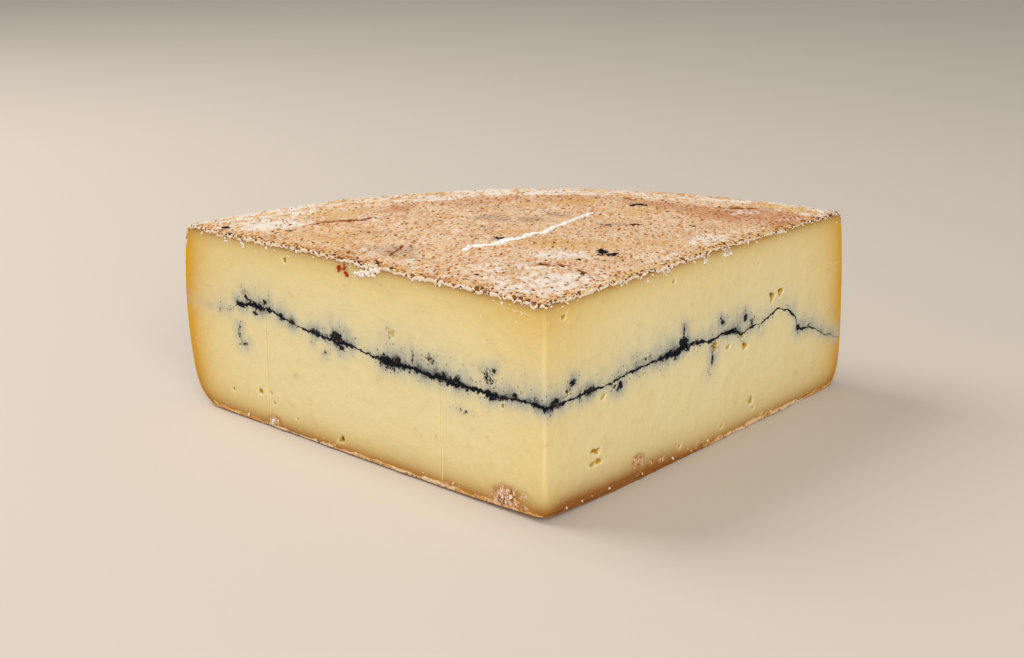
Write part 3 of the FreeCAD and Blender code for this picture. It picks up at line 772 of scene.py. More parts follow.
def rind_material(name, tints):
    """Cloth-marked rind: tan hollows between cream threads, with rust, gold, bloom and soot."""
    mix = Recipe(name)
    fine = mix.noise(0.42, 21)
    grain = mix.noise(1.1, 22)
    mid = mix.noise(3.2, 23, 3.0)
    broad = mix.noise(13, 24, 3.0)
    cloth = mix.mark("cloth")
    warp, weft = mix.mark("warp") + 0.07 * grain, mix.mark("weft") + 0.07 * grain
    weave = mix.node("ShaderNodeCombineXYZ", {}, {"X": warp, "Y": weft})
    hollow, chance = mix.scattered(weave, 0.8)
    threads = (warp.wave() ** 5).most(weft.wave() ** 5)
    lines = threads * cloth * (0.6 + 0.5 * mid)

    colour = mix.blend(0.5 + 0.45 * broad, tints.rind_tan, tints.rind_orange)
    net = hollow.above(0.24, 0.56) * (0.85 + 0.5 * mid + 0.3 * broad)
    net = (0.85 * net.most(lines)).most(0).least(0.9)
    colour = mix.blend(net, colour, tints.rind_net)

    def stain(name, tint, strength, low, high):
        edge = mix.mark(name) + 0.3 * mid + 0.2 * grain
        return mix.blend(strength * edge.above(low, high) * (1 - 0.35 * net), colour, tint)

    colour = stain("gold", tints.rind_gold, 0.8, 0.1, 0.8)
    colour = stain("rust", tints.rind_rust, 0.85, 0.1, 0.9)
    colour = stain("grey", tints.rind_grey, 0.75, 0.2, 0.8)
    colour = mix.blend(0.6 * (mid + 0.4 * grain).above(0.15, 1.0), colour, tints.rind_orange)
    speckle = (mix.noise(1.0, 31) + 0.6 * fine).above(0.1, 1.0) * (0.75 + 0.6 * broad).most(0)
    colour = mix.blend(0.6 * speckle * (1 - 0.6 * mix.mark("rim")), colour, tints.rind_tan)
    edge = mix.mark("bloom") + 0.5 * mid + 0.4 * grain + 0.2 * broad + 0.3 * net
    colour = mix.blend((0.85 * edge.above(0.5, 1.25)).least(0.85), colour, tints.rind_cream)
    near_cut = mix.mark("near_cut")
    size = 0.06 + 0.26 * chance ** 2 + 0.2 * near_cut
    dots = (size - hollow).above(-0.04, 0.05) * (mid + 0.6 * grain + near_cut).above(-0.7, -0.3)
    # The small hollows are brown, with near-black painted shade in some of them.
    brown = mix.blend((chance + 0.5 * near_cut).above(0.5, 1.0), tints.rind_dot, tints.rind_brown)
    brown = mix.blend((chance + near_cut + 0.5 * fine).above(1.5, 1.7), brown, tints.rind_pit_shade)
    colour = mix.blend(0.9 * dots * (1 - 0.75 * mix.mark("rim")), colour, brown)
    gap, luck = mix.cells(1.25, 27)
    crumbs = gap.below(0.14, 0.34) * luck.above(0.72, 0.78)
    colour = mix.blend(0.85 * crumbs, colour, tints.rind_white)
    # Scattered holes: brown, with near-black painted shade in some of them.
    gap, luck = mix.cells(1.9, 26)
    holes = gap.below(0.12, 0.24) * luck.above(0.66, 0.7)
    hole = mix.blend(luck.above(0.85, 0.95), tints.rind_brown, tints.rind_pit_shade)
    colour = mix.blend(0.9 * holes, colour, hole)
    # Pits and cracks: brown, with near-black painted shade where they are deepest.
    pit = mix.mark("pit") + 0.12 * fine
    colour = mix.blend(pit.above(0.03, 0.3), colour, tints.rind_brown)
    colour = mix.blend(pit.above(0.4, 0.85), colour, tints.rind_pit_shade)
    soot = mix.mark("soot") + 0.2 * fine + 0.2 * grain
    colour = mix.blend(soot.above(0.4, 0.55), colour, tints.soot)

    deep = mix.mark("deep")
    gap, luck = mix.cells(1.5, 29)
    # Holes along the broken edge: brown, with near-black painted shade in some of them.
    combs = gap.below(0.26, 0.38) * luck.above(0.4, 0.45) * deep.below(0.6, 0.8)
    firm = mix.blend((mid + fine).above(0.3, 0.9), tints.rind_orange, tints.rind_brown)
    crumbly = (mix.mark("crumbly") + 0.5 * grain + 0.3 * mid).above(0.2, 0.6)
    crust = mix.blend((grain + 0.5 * fine).above(0.3, 1.2), tints.rind_crumb, tints.rind_gold)
    crust = mix.blend(crumbly, firm, crust)
    crust = mix.blend(combs, crust, mix.blend(luck.above(0.5, 0.8), tints.rind_brown, tints.rind_pit_shade))
    # Painted shadow: the innermost part of the broken edge, under its overhang, takes the crust colour.
    crust = mix.blend(0.8 * deep.above(0.75, 1), crust, tints.crust)
    crust = mix.blend(0.45 * mix.mark("foot"), crust, tints.rind_gold)
    crust = mix.blend(0.9 * (mix.mark("dark") + 0.25 * mid).above(0.2, 0.8), crust, tints.rind_brown)
    lip = mix.mark("lip") + 0.15 * fine + 0.15 * grain
    colour = mix.blend(lip.above(0.45, 0.7), colour, crust)
    streak = mix.mark("streak") + 0.14 * fine + 0.12 * grain
    colour = mix.blend(streak.above(0.25, 0.5), colour, tints.rind_white)
    colour = mix.blend(mix.mark("edge"), colour, tints.amber)

    height = 0.2 * threads * cloth + 0.3 * hollow + 0.16 * grain + 0.1 * fine + 0.4 * crumbs - 0.9 * holes
    normal = mix.bump(height - 0.5 * dots - 0.8 * combs * lip, 0.4)
    return mix.finish(colour, 0.85 + 0.06 * mid, normal, specular_ior_level=0.0)


def ash_material(tints):
    """Blue-black vegetable ash, slightly gritty."""
    mix = Recipe("cheese_ash")
    fine = mix.noise(0.35, 61)
    colour = mix.blend(fine.above(0.0, 1.2), tints.ash, tints.ash_light)
    return mix.finish(colour, 0.75 + 0.1 * fine, mix.bump(0.5 * fine, 0.2), specular_ior_level=0.03)


def crumb_material(tints):
    """Crumbs of rind: cream, golden or red, by their own mark."""
    mix = Recipe("cheese_crumb")
    fine = mix.noise(0.6, 71)
    kind = mix.mark("kind")
    colour = mix.blend(fine.above(-0.5, 0.5), tints.rind_crumb, tints.rind_white)
    colour = mix.blend(kind.above(0.4, 0.6), colour, tints.rind_gold)
    colour = mix.blend(kind.above(1.4, 1.6), colour, tints.red_bit)
    normal = mix.bump(0.4 * fine, 0.2)
    return mix.finish(colour, 0.75 + 0.05 * fine, normal, specular_ior_level=0.08)


def floor_material(tints):
    """A plain pale floor."""
    mix = Recipe("floor")
    broad = mix.noise(400, 81)
    return mix.finish(mix.blend(0.5 + 0.3 * broad, tints.floor, mix_down(tints.floor, 0.97)), 0.8)


def mix_down(colour, share):
    """A colour made darker by a share."""
    return [part * share for part in colour]


# ---- Settings ------------------------------------------------------------------------------------


def length(name, description, value):
    """A length setting, given in millimetres and kept in metres."""
    return bpy.props.FloatProperty(
        name=name, description=description, default=value * MM, min=0, subtype="DISTANCE", unit="LENGTH"
    )


def tint(name, description, value):
    """A colour setting."""
    return bpy.props.FloatVectorProperty(
        name=name, description=description, default=value, min=0, max=1, size=3, subtype="COLOR"
    )


class CheeseSizes(bpy.types.PropertyGroup):
    """Sizes of the rind, the ash and the crumbs."""

    rind_thickness: length("Rind Thickness", "How thick the rind is on the cut faces", 1.2)
    rim_round: length("Rim Rounding", "Radius between the top and the side", 3)
    skirt: length("Rim Overlap", "How far the top's rind comes down the side", 4.3)
    warp_pitch: length("Warp Pitch", "Distance between the cloth's long threads", 1.6)
    weft_pitch: length("Weft Pitch", "Distance between the cloth's cross threads", 2.9)
    cloth_depth: length("Cloth Depth", "How deep the cloth has marked the rind", 0.09)
    pit_depth: length("Pit Depth", "How deep the pits in the rind are", 0.9)
    ash_share: bpy.props.FloatProperty(
        name="Ash Share", description="Thickness of the ash itself within its stain", default=0.26,
        min=0.1, max=1, subtype="FACTOR",
    )
    ash_proud: length("Ash Relief", "How far the ash stands out of the cuts", 0.06)
    speck_count: bpy.props.IntProperty(
        name="Ash Specks", description="Number of loose specks of ash", default=220, min=0
    )
    crumb_count: bpy.props.IntProperty(
        name="Rind Crumbs", description="Number of crumbs along the rind's edges", default=300, min=0
    )


class CheeseTints(bpy.types.PropertyGroup):
    """Colours of the cheese and the floor."""

    paste: tint("Paste", "The paste", (0.8, 0.693, 0.391))
    paste_deep: tint("Paste, Deeper", "Deeper clouds in the paste", (0.77, 0.642, 0.322))
    # The paste's own brown above the foot, also used as painted shade there and under the rind's edge.
    paste_brown_and_shade: tint("Paste, Foot", "The paste just above the foot", (0.42, 0.27, 0.075))
    # Real pale flecks; also the painted highlight round the holes' rims and beside the creases.
    paste_pale: tint("Paste, Paler", "Pale flecks in the paste", (0.88, 0.77, 0.48))
    paste_ripe: tint("Paste, Ripe", "The paste near the rind", (0.74, 0.51, 0.15))
    # Real amber just inside the rind; also used for the painted shadow beside the creases.
    amber: tint("Amber", "The paste just inside the rind", (0.66, 0.34, 0.022))
    # The paste's own darker crust; also used for painted shadow under the rind's edge and at the foot.
    crust: tint("Crust", "The paste right under the rind", (0.40, 0.18, 0.035))
    # Painted shadow at the bottom of the deeper holes.
    eye_shadow: tint("Eye, Deep", "The bottom of the deeper holes", (0.13, 0.075, 0.005))
    # Painted shade inside the holes.
    eye: tint("Eye", "Inside the holes", (0.50, 0.29, 0.008))
    ash: tint("Ash", "The ash", (0.007, 0.008, 0.012))
    ash_light: tint("Ash, Lighter", "Lighter grains of ash", (0.025, 0.028, 0.036))
    ash_smoke: tint("Ash Smoke", "The darkest stain, along the ash", (0.085, 0.09, 0.09))
    ash_brown: tint("Ash, Brown", "Old specks of ash", (0.075, 0.04, 0.022))
    paste_grey: tint("Paste, Greyed", "The paste beside the ash", (0.72, 0.69, 0.51))
    ash_halo: tint("Ash Stain", "The paste stained by ash", (0.155, 0.178, 0.195))
    rind_tan: tint("Rind, Tan", "The rind between the threads' marks", (0.57, 0.29, 0.10))
    rind_orange: tint("Rind, Orange", "Warmer parts of the rind", (0.56, 0.215, 0.05))
    rind_rust: tint("Rind, Rust", "Red-brown parts of the rind", (0.45, 0.15, 0.045))
    rind_gold: tint("Rind, Gold", "Golden parts of the rind", (0.68, 0.41, 0.14))
    rind_grey: tint("Rind, Grey", "Grey-brown parts of the rind", (0.28, 0.20, 0.155))
    rind_net: tint("Rind, Net", "The threads' marks", (0.79, 0.62, 0.44))
    rind_cream: tint("Rind, Cream", "Bloom on the rind", (0.81, 0.72, 0.615))
    rind_white: tint("Rind, White", "Whitest scrapes and crumbs", (0.90, 0.86, 0.80))
    rind_crumb: tint("Rind Crumb", "The broken edge of the rind", (0.79, 0.65, 0.49))
    rind_dot: tint("Rind Dots", "Small hollows in the rind", (0.36, 0.125, 0.022))
    rind_brown: tint("Rind, Brown", "Shallow pits and the foot", (0.26, 0.085, 0.017))
    # Near-black painted shade at the bottom of pits and holes.
    rind_pit_shade: tint("Rind Pit", "The deepest pits", (0.055, 0.018, 0.006))
    soot: tint("Soot", "Dark mould on the rind", (0.012, 0.012, 0.016))
    red_bit: tint("Red Crumb", "Reddest crumbs of rind", (0.42, 0.03, 0.008))
    floor: tint("Floor", "The floor", (0.64, 0.555, 0.465))


class CheeseStudio(bpy.types.PropertyGroup):
    """The camera and the lights."""

    distance: length("Camera Distance", "From the camera to what it looks at", 557.7)
    aim_left: length("Aim Left", "How far left of the middle the camera looks", 4.8)
    aim_up: length("Aim Up", "How far above the middle the camera looks", 0.5)
    turn: bpy.props.FloatProperty(
        name="Camera Turn", description="Turn of the view to the right", default=math.radians(3.12),
        subtype="ANGLE", unit="ROTATION",
    )
    tilt: bpy.props.FloatProperty(
        name="Camera Tilt", description="How far the view looks down", default=math.radians(17.506),
        subtype="ANGLE", unit="ROTATION",
    )
    roll: bpy.props.FloatProperty(
        name="Camera Roll", description="Clockwise roll of the view", default=math.radians(0.468),
        subtype="ANGLE", unit="ROTATION",
    )
    lens: bpy.props.FloatProperty(
        name="Lens", description="Focal length in millimetres", default=55.34, min=10, max=300
    )
    key: bpy.props.FloatProperty(name="Key Light", description="Its power in watts", default=11.5, min=0)
    fill: bpy.props.FloatProperty(name="Fill Light", description="Its power in watts", default=17, min=0)
    ambient: bpy.props.FloatProperty(name="Ambient", description="Light from all round", default=0.42, min=0)


# ---- The paste -----------------------------------------------------------------------------------


def ash_height(side, reach):
    """Height of the ash line on a cut, with its fine wandering."""
    known = np.array(ASH_LINES[side], float)
    wander = flat(reach, np.full(np.shape(reach), 40.0 * side))
    height = np.interp(reach, known[:, 0], known[:, 1])
    return height + 0.45 * noise(wander, 3.2, 301) + 0.3 * noise(wander, 1.3, 302)


def ash_breadth(side, reach):
    """Thickness of the ash line on a cut."""
    known = np.array(ASH_BREADTHS[side], float)
    return np.interp(reach, known[:, 0], known[:, 1])


def eye_hole(reach, height, eye):
    """How far places lie from the middle of an uneven hole: 1 is its edge."""
    _, middle, up, half_reach, half_height, turn, _ = eye
    widening = 1.22
    bearing = np.arctan2(height - up, reach - middle)
    seed = middle + up
    wobble = 1 + 0.2 * np.sin(3 * bearing + seed) + 0.12 * np.sin(5 * bearing + 2 * seed)
    gap = oval(reach, height, middle, up, widening * half_reach, widening * half_height, turn)
    return gap / wobble


def snap_to_eyes(side, reach, height, near=0.22):
    """Moves grid points that nearly touch a hole's edge onto it, so that the edge is clean."""
    for eye in on_side(EYES, side):
        _, middle, up, half_reach, half_height, *_ = eye
        gap = np.maximum(eye_hole(reach, height, eye), 1e-3)
        size = (half_reach + half_height) / 2
        pull = np.where(abs(gap - 1) * size < near, 1 / gap - 1, 0)
        reach = reach + (reach - middle) * pull
        height = height + (height - up) * pull
    return reach, height


def cut_relief(side, reach, height):
    """How far a cut face stands out, with the marks that its colours follow."""
    spots = flat(reach, height) + (0, 0, 50 * side)
    knife = 0.22 * noise(spots * (0.4, 1, 1), 21, 311) + 0.05 * rough(spots, 3, 312)
    out = knife * ease(0, 12, reach)
    marks = {name: np.zeros(reach.shape) for name in ("eye", "eye_rim_highlight", "spot")}
    for eye in on_side(EYES, side):
        _, _, _, half_reach, half_height, _, depth = eye
        gap = eye_hole(reach, height, eye)
        bowl = np.sqrt(np.clip(1 - gap**2, 0, 1))
        out -= depth * bowl
        # How deep each place lies in a hole, for its painted shade, and a ring round the edge for its
        # painted highlight.
        marks["eye"] = np.maximum(marks["eye"], bowl * min(1.5, 0.7 * depth))
        rim_width = 0.35 / min(half_reach, half_height)
        marks["eye_rim_highlight"] = np.maximum(marks["eye_rim_highlight"], ease(1 + 2 * rim_width, 1, gap) * min(1, depth))
    # The nearest crease's signed distance, and how strongly its painted shadow and highlight show.
    crease_gap = np.full(reach.shape, 3.0)
    crease_share = np.zeros(reach.shape)
    for _, reach0, height0, reach1, height1, depth, step, plain in on_side(CREASES, side):
        signed, _ = line_gap(reach, height, [(reach0, height0), (reach1, height1)])
        signed = signed + 0.3 * noise(spots, 7, 313) + 0.1 * noise(spots, 2, 316)
        beside = ease(5, 0, abs(signed))
        out -= depth * np.exp(-((signed / 0.5) ** 2)) + step * beside * ease(-0.6, 0.6, signed)
        nearer = abs(signed) < abs(crease_gap)
        crease_share = np.where(nearer, plain, crease_share)
        crease_gap = np.where(nearer, signed, crease_gap)
    for _, middle, up, half_reach, half_height, strength in on_side(RIND_SPOTS, side):
        gap = oval(reach, height, middle, up, half_reach, half_height, 0)
        near = strength * np.exp(-(gap**2))
        marks["spot"] = np.maximum(marks["spot"], near)
        out += near * (0.25 + 0.3 * noise(spots, 0.9, 314)) * ease(0.3, 0.7, near)
    gap = height - ash_height(side, reach)
    half = ash_breadth(side, reach) / 2
    blots = np.full(reach.shape, -1.0)
    spread_up, spread_down = 4.2, 2.1
    halo = np.exp(-np.where(gap > 0, gap / spread_up, -gap / spread_down))
    halo *= 0.92 * ease(0, 0.85, half + 0.25)
    halo *= 0.9 + 0.45 * noise(spots * (1, 0, 1), 13, 315)
    for _, middle, up, half_reach, half_height, turn, strength in on_side(ASH_BLOTS, side):
        near = oval(reach, height, middle, up, half_reach, half_height, turn)
        blots = np.maximum(blots, (1.3 - 0.65 * near) * (0.1 + 0.9 * strength) - 0.05)
        wide = oval(reach, height, middle, up, half_reach + 3.2, half_height + 3.2, turn)
        halo = np.maximum(halo, 0.75 * strength * np.exp(-(wide**2) * 1.4))
    out -= 0.25 * np.exp(-((gap / (half + 0.4)) ** 2)) * ease(0.1, 0.6, half)
    marks.update(ash_gap=gap, ash_half=half, ash_blot=blots, halo=halo)
    marks.update(crease=crease_gap, crease_share=crease_share)
    return out, marks


def build_paste():
    """The paste: one wall round the quarter, with its eyes and creases, and two hidden caps."""
    cell = 0.56
    cut_inset, back_inset = 0.5, 1.9
    near_apex = [0, 0.3, 0.6, 0.9, 1.3]
    reach_steps = np.arange(near_apex[-1] + cell, WHEEL_RADIUS, cell) / WHEEL_RADIUS
    share = np.concatenate([np.array(near_apex) / WHEEL_RADIUS, reach_steps, [1]])
    back = np.linspace(HALF_TURN, -HALF_TURN, 60)[1:-1]
    turn = np.concatenate([np.full(share.size, HALF_TURN), back, np.full(share.size - 1, -HALF_TURN)])
    share = np.concatenate([share, np.ones(back.size), share[:0:-1]])
    side = np.sign(turn) * (abs(turn) > HALF_TURN - 1e-6)
    rows = np.linspace(0, 1, 128)[:, None]

    inset = between(cut_inset, back_inset, ease(HALF_TURN, HALF_TURN - 0.03, abs(turn)))
    rough_reach = share * (side_radius(turn, HEIGHT / 2) - inset)
    x, y = level_place(turn, rough_reach)
    height = between(base_height(x, y) + 0.7, top_height(x, y) - 0.9, rows)
    reach = share * (side_radius(turn, height) - inset)
    points = np.zeros((*height.shape, 3))
    marks = {}
    for which in (LEFT, RIGHT, 0):
        chosen = np.broadcast_to(side == which, height.shape)
        if which:
            moved = snap_to_eyes(which, reach[chosen], height[chosen])
            out, found = cut_relief(which, *moved)
            normal = cut_normal(which)
        else:
            moved = reach[chosen], height[chosen]
            out, found = cut_relief(RIGHT, *moved)
            out = out * 0
            normal = (0, -1, 0)
        points[chosen] = rounded(place(np.broadcast_to(turn, height.shape)[chosen], *moved))
        points[chosen] += np.asarray(out)[:, None] * normal
        for name, values in found.items():
            marks.setdefault(name, np.zeros(height.shape))[chosen] = values
    marks["rind_gap"] = side_radius(turn, height) - reach
    marks["top_gap"] = top_height(x, y) - height
    marks["foot_gap"] = height - base_height(x, y)
    # How strongly the paste above the foot is browned and painted with shade: most on the right cut, towards
    # the pointed edge.
    low = between(0.25, 1, ease(-10, 15, x)) * ease(85, 55, reach)
    marks["brown_foot"] = low + np.zeros(height.shape)
    near_edge = 0.45 * np.exp(-((reach / 28) ** 2))
    marks["ripe"] = np.exp(-((reach / 17) ** 2) - marks["top_gap"] / 9) + near_edge

    shell = Shell()
    index = shell.add(points, **marks)
    wrapped = np.concatenate([index, index[:, :1]], axis=1)
    shell.join(grid_faces(wrapped.T))
    middle = (0, AXIS_Y + 0.6 * WHEEL_RADIUS, 0)
    step_in, above_base, below_top = 3.5, 1.6, 2.2
    for row, facing in ((0, -1), (-1, 1)):
        away = points[row] * (1, 1, 0) - middle
        inner = points[row] - away * (step_in / np.linalg.norm(away, axis=1))[:, None]
        inner = np.concatenate([inner, [middle]])
        u, v = inner[:, 0], inner[:, 1]
        inner[:, 2] = base_height(u, v) + above_base if row == 0 else top_height(u, v) - below_top
        ring = shell.add(inner)
        fan = np.stack([ring[:-1], np.roll(ring[:-1], -1), np.full(ring.size - 1, ring[-1])], axis=-1)
        shell.join(band(index[row], ring[:-1])[:, ::facing], fan[:, ::facing])
    return shell


# ---- The rind ------------------------------------------------------------------------------------


def top_marks(x, y, rim_gap, sizes):
    """The tints, pits and cloth marks of the top, and how far it stands out."""
    spots = flat(x, y)
    warped_x = x + 2.4 * noise(spots, 7, 401) + 1.1 * noise(spots, 2.6, 402)
    warped_y = y + 2.4 * noise(spots, 7, 403) + 1.1 * noise(spots, 2.6, 404)
    marks = {name: np.zeros(x.shape) for name in ("bloom", "rust", "gold", "grey", "soot")}

    def lift(name, value):
        marks[name] = np.maximum(marks[name], value)

    for name, middle_x, middle_y, half_x, half_y, turn, strength in TINTS:
        if name == "soot":
            near = oval(between(warped_x, x, 0.75), between(warped_y, y, 0.75), middle_x, middle_y,
                        half_x, half_y, turn)
            value = (1 - 0.5 * near) * strength
        else:
            near = oval(warped_x, warped_y, middle_x, middle_y, half_x, half_y, turn)
            value = strength * ease(1.5, 0.4, near)
        lift(name, value)
    cut_gap = np.maximum((y - AXIS_Y - abs(x)) * math.cos(HALF_TURN), 0)
    angle = np.arctan2(x, y - AXIS_Y)
    band_edge = between(19, 14, share_of(angle)) + 3.5 * noise(spots, 15, 405) + 2 * noise(spots, 4, 406)
    rim = ease(3, -3, rim_gap - band_edge)
    lift("bloom", rim * (0.85 + 0.3 * noise(spots, 8, 407)))
    arcs = rim * ease(0.05, 0.5, noise(flat(angle * WHEEL_RADIUS / 9, rim_gap), 1.7, 408))
    lift("gold", 0.7 * arcs)
    marks["bloom"] = marks["bloom"] * (1 - 0.75 * arcs)
    lift("gold", 0.6 * ease(5, 0, rim_gap))
    beside = ease(7, 1, cut_gap) * (0.75 + 0.5 * noise(spots, 6, 427))
    lift("gold", beside * (1 - rim))
    rusty = ease(0, -10, x) * ease(-0.3, 0.4, noise(spots, 9, 428))
    lift("rust", rusty * beside * (1 - rim))
    marks["near_cut"] = ease(4.2, 0.6, cut_gap)
    marks["rim"] = rim
    for name in ("rust", "grey"):
        marks[name] = marks[name] * (1 - 0.8 * rim)

    askew = math.radians(9)  # how the cloth lay on the wheel
    grain_x = math.cos(askew) * x - math.sin(askew) * y
    grain_y = math.sin(askew) * x + math.cos(askew) * y
    warp = grain_x / (sizes.warp_pitch / MM) + 0.5 * noise(spots, 45, 409) + 0.12 * noise(spots, 4, 410)
    weft = grain_y / (sizes.weft_pitch / MM) + 0.6 * noise(spots, 45, 411) + 0.15 * noise(spots, 4, 412)
    patchy = 0.35 + 0.65 * ease(-0.45, 0.35, noise(spots, 24, 413) + 0.5 * noise(spots, 7, 414))
    cloth = patchy * (1 - 0.85 * rim) * between(1, 0.5, marks["bloom"])
    threads = np.maximum(thread(warp), 0.8 * thread(weft))

    edge_share = ease(16, 2, cut_gap)
    apex_share = ease(60, 15, np.hypot(x, y - AXIS_Y))
    busy = np.clip(0.22 + 0.55 * edge_share + 0.3 * apex_share - 0.2 * rim, 0, 0.9)
    pit = dents(x, y, 3.1, 0.6, 0.3, 0.8, 415) * ease(0.1, 0.5, busy + 0.4 * noise(spots, 6, 416))
    comb = dents(x, y, 1.9, 0.9, 0.45, 0.85, 417) * ease(5, 1.5, cut_gap)
    comb = comb * ease(0, 0.5, 0.35 + noise(spots, 9, 418))
    pit = np.clip(np.maximum(pit, comb), 0, 1)
    threads = threads * (0.7 + 0.7 * noise(spots, 2.3, 429))
    out = (sizes.cloth_depth / MM) * cloth * threads - 0.1
    out += 0.3 * rough(spots, 3.4, 419) * (1 - 0.4 * rim) + 0.2 * noise(spots, 1.15, 420)
    out += rim * 0.3 * noise(flat(angle * WHEEL_RADIUS / 14, rim_gap), 1.6, 421)
    out -= sizes.pit_depth / MM * np.sqrt(pit)
    for depth, half, points in CRACKS:
        signed, along = line_gap(warped_x * 0.3 + x * 0.7, warped_y * 0.3 + y * 0.7, points)
        near = np.exp(-((signed / half) ** 2)) * ease(0, 0.15, along) * ease(1, 0.85, along)
        out -= depth * near
        pit = np.maximum(pit, 1.3 * near * min(1, depth))
    signed, along = line_gap(x + 0.4 * noise(spots, 3, 422), y + 0.4 * noise(spots, 3, 423), STREAK)
    half = between(1.45, 0.6, abs(along - 0.35) * 1.5) * (1 + 0.12 * noise(spots, 2.5, 424))
    near = ease(1.25, 0.6, abs(signed) / half)
    out += near * (0.65 + 0.22 * noise(spots, 1.2, 425))
    marks.update(pit=pit * (1 - near), streak=near, warp=warp, weft=weft, cloth=cloth * (1 - near))
    return out, marks


def top_point(a, b, sizes):
    """A point of the top's rind, its normal, its distance from the rim and its place laid flat."""
    share, turn = quarter_place(a, b)
    turning = sizes.rim_round / MM
    around = flat(turn * WHEEL_RADIUS, np.zeros(turn.shape))
    skirt = sizes.skirt / MM + 1.4 * noise(around, 17, 441) + 0.7 * noise(around, 5, 442)
    edge = side_radius(turn, HEIGHT - 6)
    flat_reach = edge - turning
    run = share * (flat_reach + turning * math.pi / 2 + skirt)
    bend = np.clip((run - flat_reach) / turning, 0, math.pi / 2)
    down = np.maximum(run - flat_reach - turning * math.pi / 2, 0)
    reach = np.minimum(run, flat_reach) + turning * np.sin(bend)
    x, y = level_place(turn, reach)
    height = top_height(x, y) - turning * (1 - np.cos(bend)) - down
    reach = np.where(down > 0, side_radius(turn, height) - side_radius(turn, height + down) + edge, reach)
    normal = place(turn, np.sin(bend), np.cos(bend)) - (0, AXIS_Y, 0)
    unrolled = place(turn, run, 0.0)
    return place(turn, reach + 0.12 * np.sin(bend), height), normal, flat_reach + 3 - run, unrolled


def edge_lips(loop_points, seed, most):
    """How far the broken edge of the rind stands out, at three depths and then inside the paste."""
    ragged = 0.5 + 0.4 * noise(loop_points, 1.1, seed) + 0.75 * noise(loop_points, 3.5, seed + 1)
    proud = np.clip(ragged, 0.1, 1.4) * most
    depths = ((0.12, 0.7), (0.45, 1), (0.85, 0.75), (1, 0.1))
    return [(share, proud * part) for share, part in depths] + [(0.9, proud * 0 - 0.9)]


def build_rind_top(sizes):
    """The rind on the top, with its rounded rim and its broken edges at the cuts."""
    a, b = unit_grid(rows=298, columns=298)
    points, normal, rim_gap, unrolled = top_point(a, b, sizes)
    out, marks = top_marks(unrolled[..., 0], unrolled[..., 1], rim_gap, sizes)
    out = out * ease(-1, 3, rim_gap + 6)
    shell = Shell()
    on_cut = np.minimum(a, b) * WHEEL_RADIUS
    points = rounded(points)
    index = shell.add(points + normal * (out - 0.25 * ease(0.6, 0, on_cut))[..., None], **marks,
                      lip=0.5 * ease(0.7, 0, on_cut), crumbly=1)
    shell.join(grid_faces(index))

    loop = border(index)
    loop_a, loop_b = a.ravel()[loop], b.ravel()[loop]
    cut = np.where(loop_b == 0, RIGHT, LEFT)
    apex = (loop_a == 0) & (loop_b == 0)
    outward = np.where((cut > 0)[:, None], cut_normal(RIGHT), cut_normal(LEFT))
    outward[apex] = (0, -1, 0)
    skirt = np.maximum(loop_a, loop_b) == 1
    outward[skirt & (np.minimum(loop_a, loop_b) > 0)] = (0, 0, -1)
    inward = -normal.reshape(-1, 3)[loop]
    at = points.reshape(-1, 3)[loop]
    uneven = np.where(cut > 0, -0.25, -0.05) + 0.5 * noise(at, 9, 434)
    uneven += 0.35 * noise(at, 4, 431) + 0.3 * noise(at, 1.5, 432)
    outer = ease(120, 172, np.maximum(loop_a, loop_b) * WHEEL_RADIUS) * np.where(cut > 0, 0.55, 0.2)
    depth = np.maximum(sizes.rind_thickness / MM * (1 + uneven) * (1 - outer), 0.45)
    last = shell.rim(loop, inward, outward, depth, edge_lips(at, 433, 0.42), lip=1, pit=0, soot=0, streak=0)
    inner = inner_grid(rows=40, columns=40)
    under, facing, *_ = top_point(*inner, sizes)
    behind = under - facing * (sizes.rind_thickness / MM + 0.3)
    shell.close(last, (loop_a, loop_b), behind, inner, -1)
    return shell


def side_point(across, up):
    """A point of the side's rind, from the right cut to the left one and from the foot up."""
    turn = HALF_TURN * (1 - 2 * across)
    height = 0.45 + (HEIGHT - 7.8) * up**1.35
    share = share_of(turn)
    height = height + between(-1.6, 0, share) * up
    return place(turn, side_radius(turn, height), height), turn, height


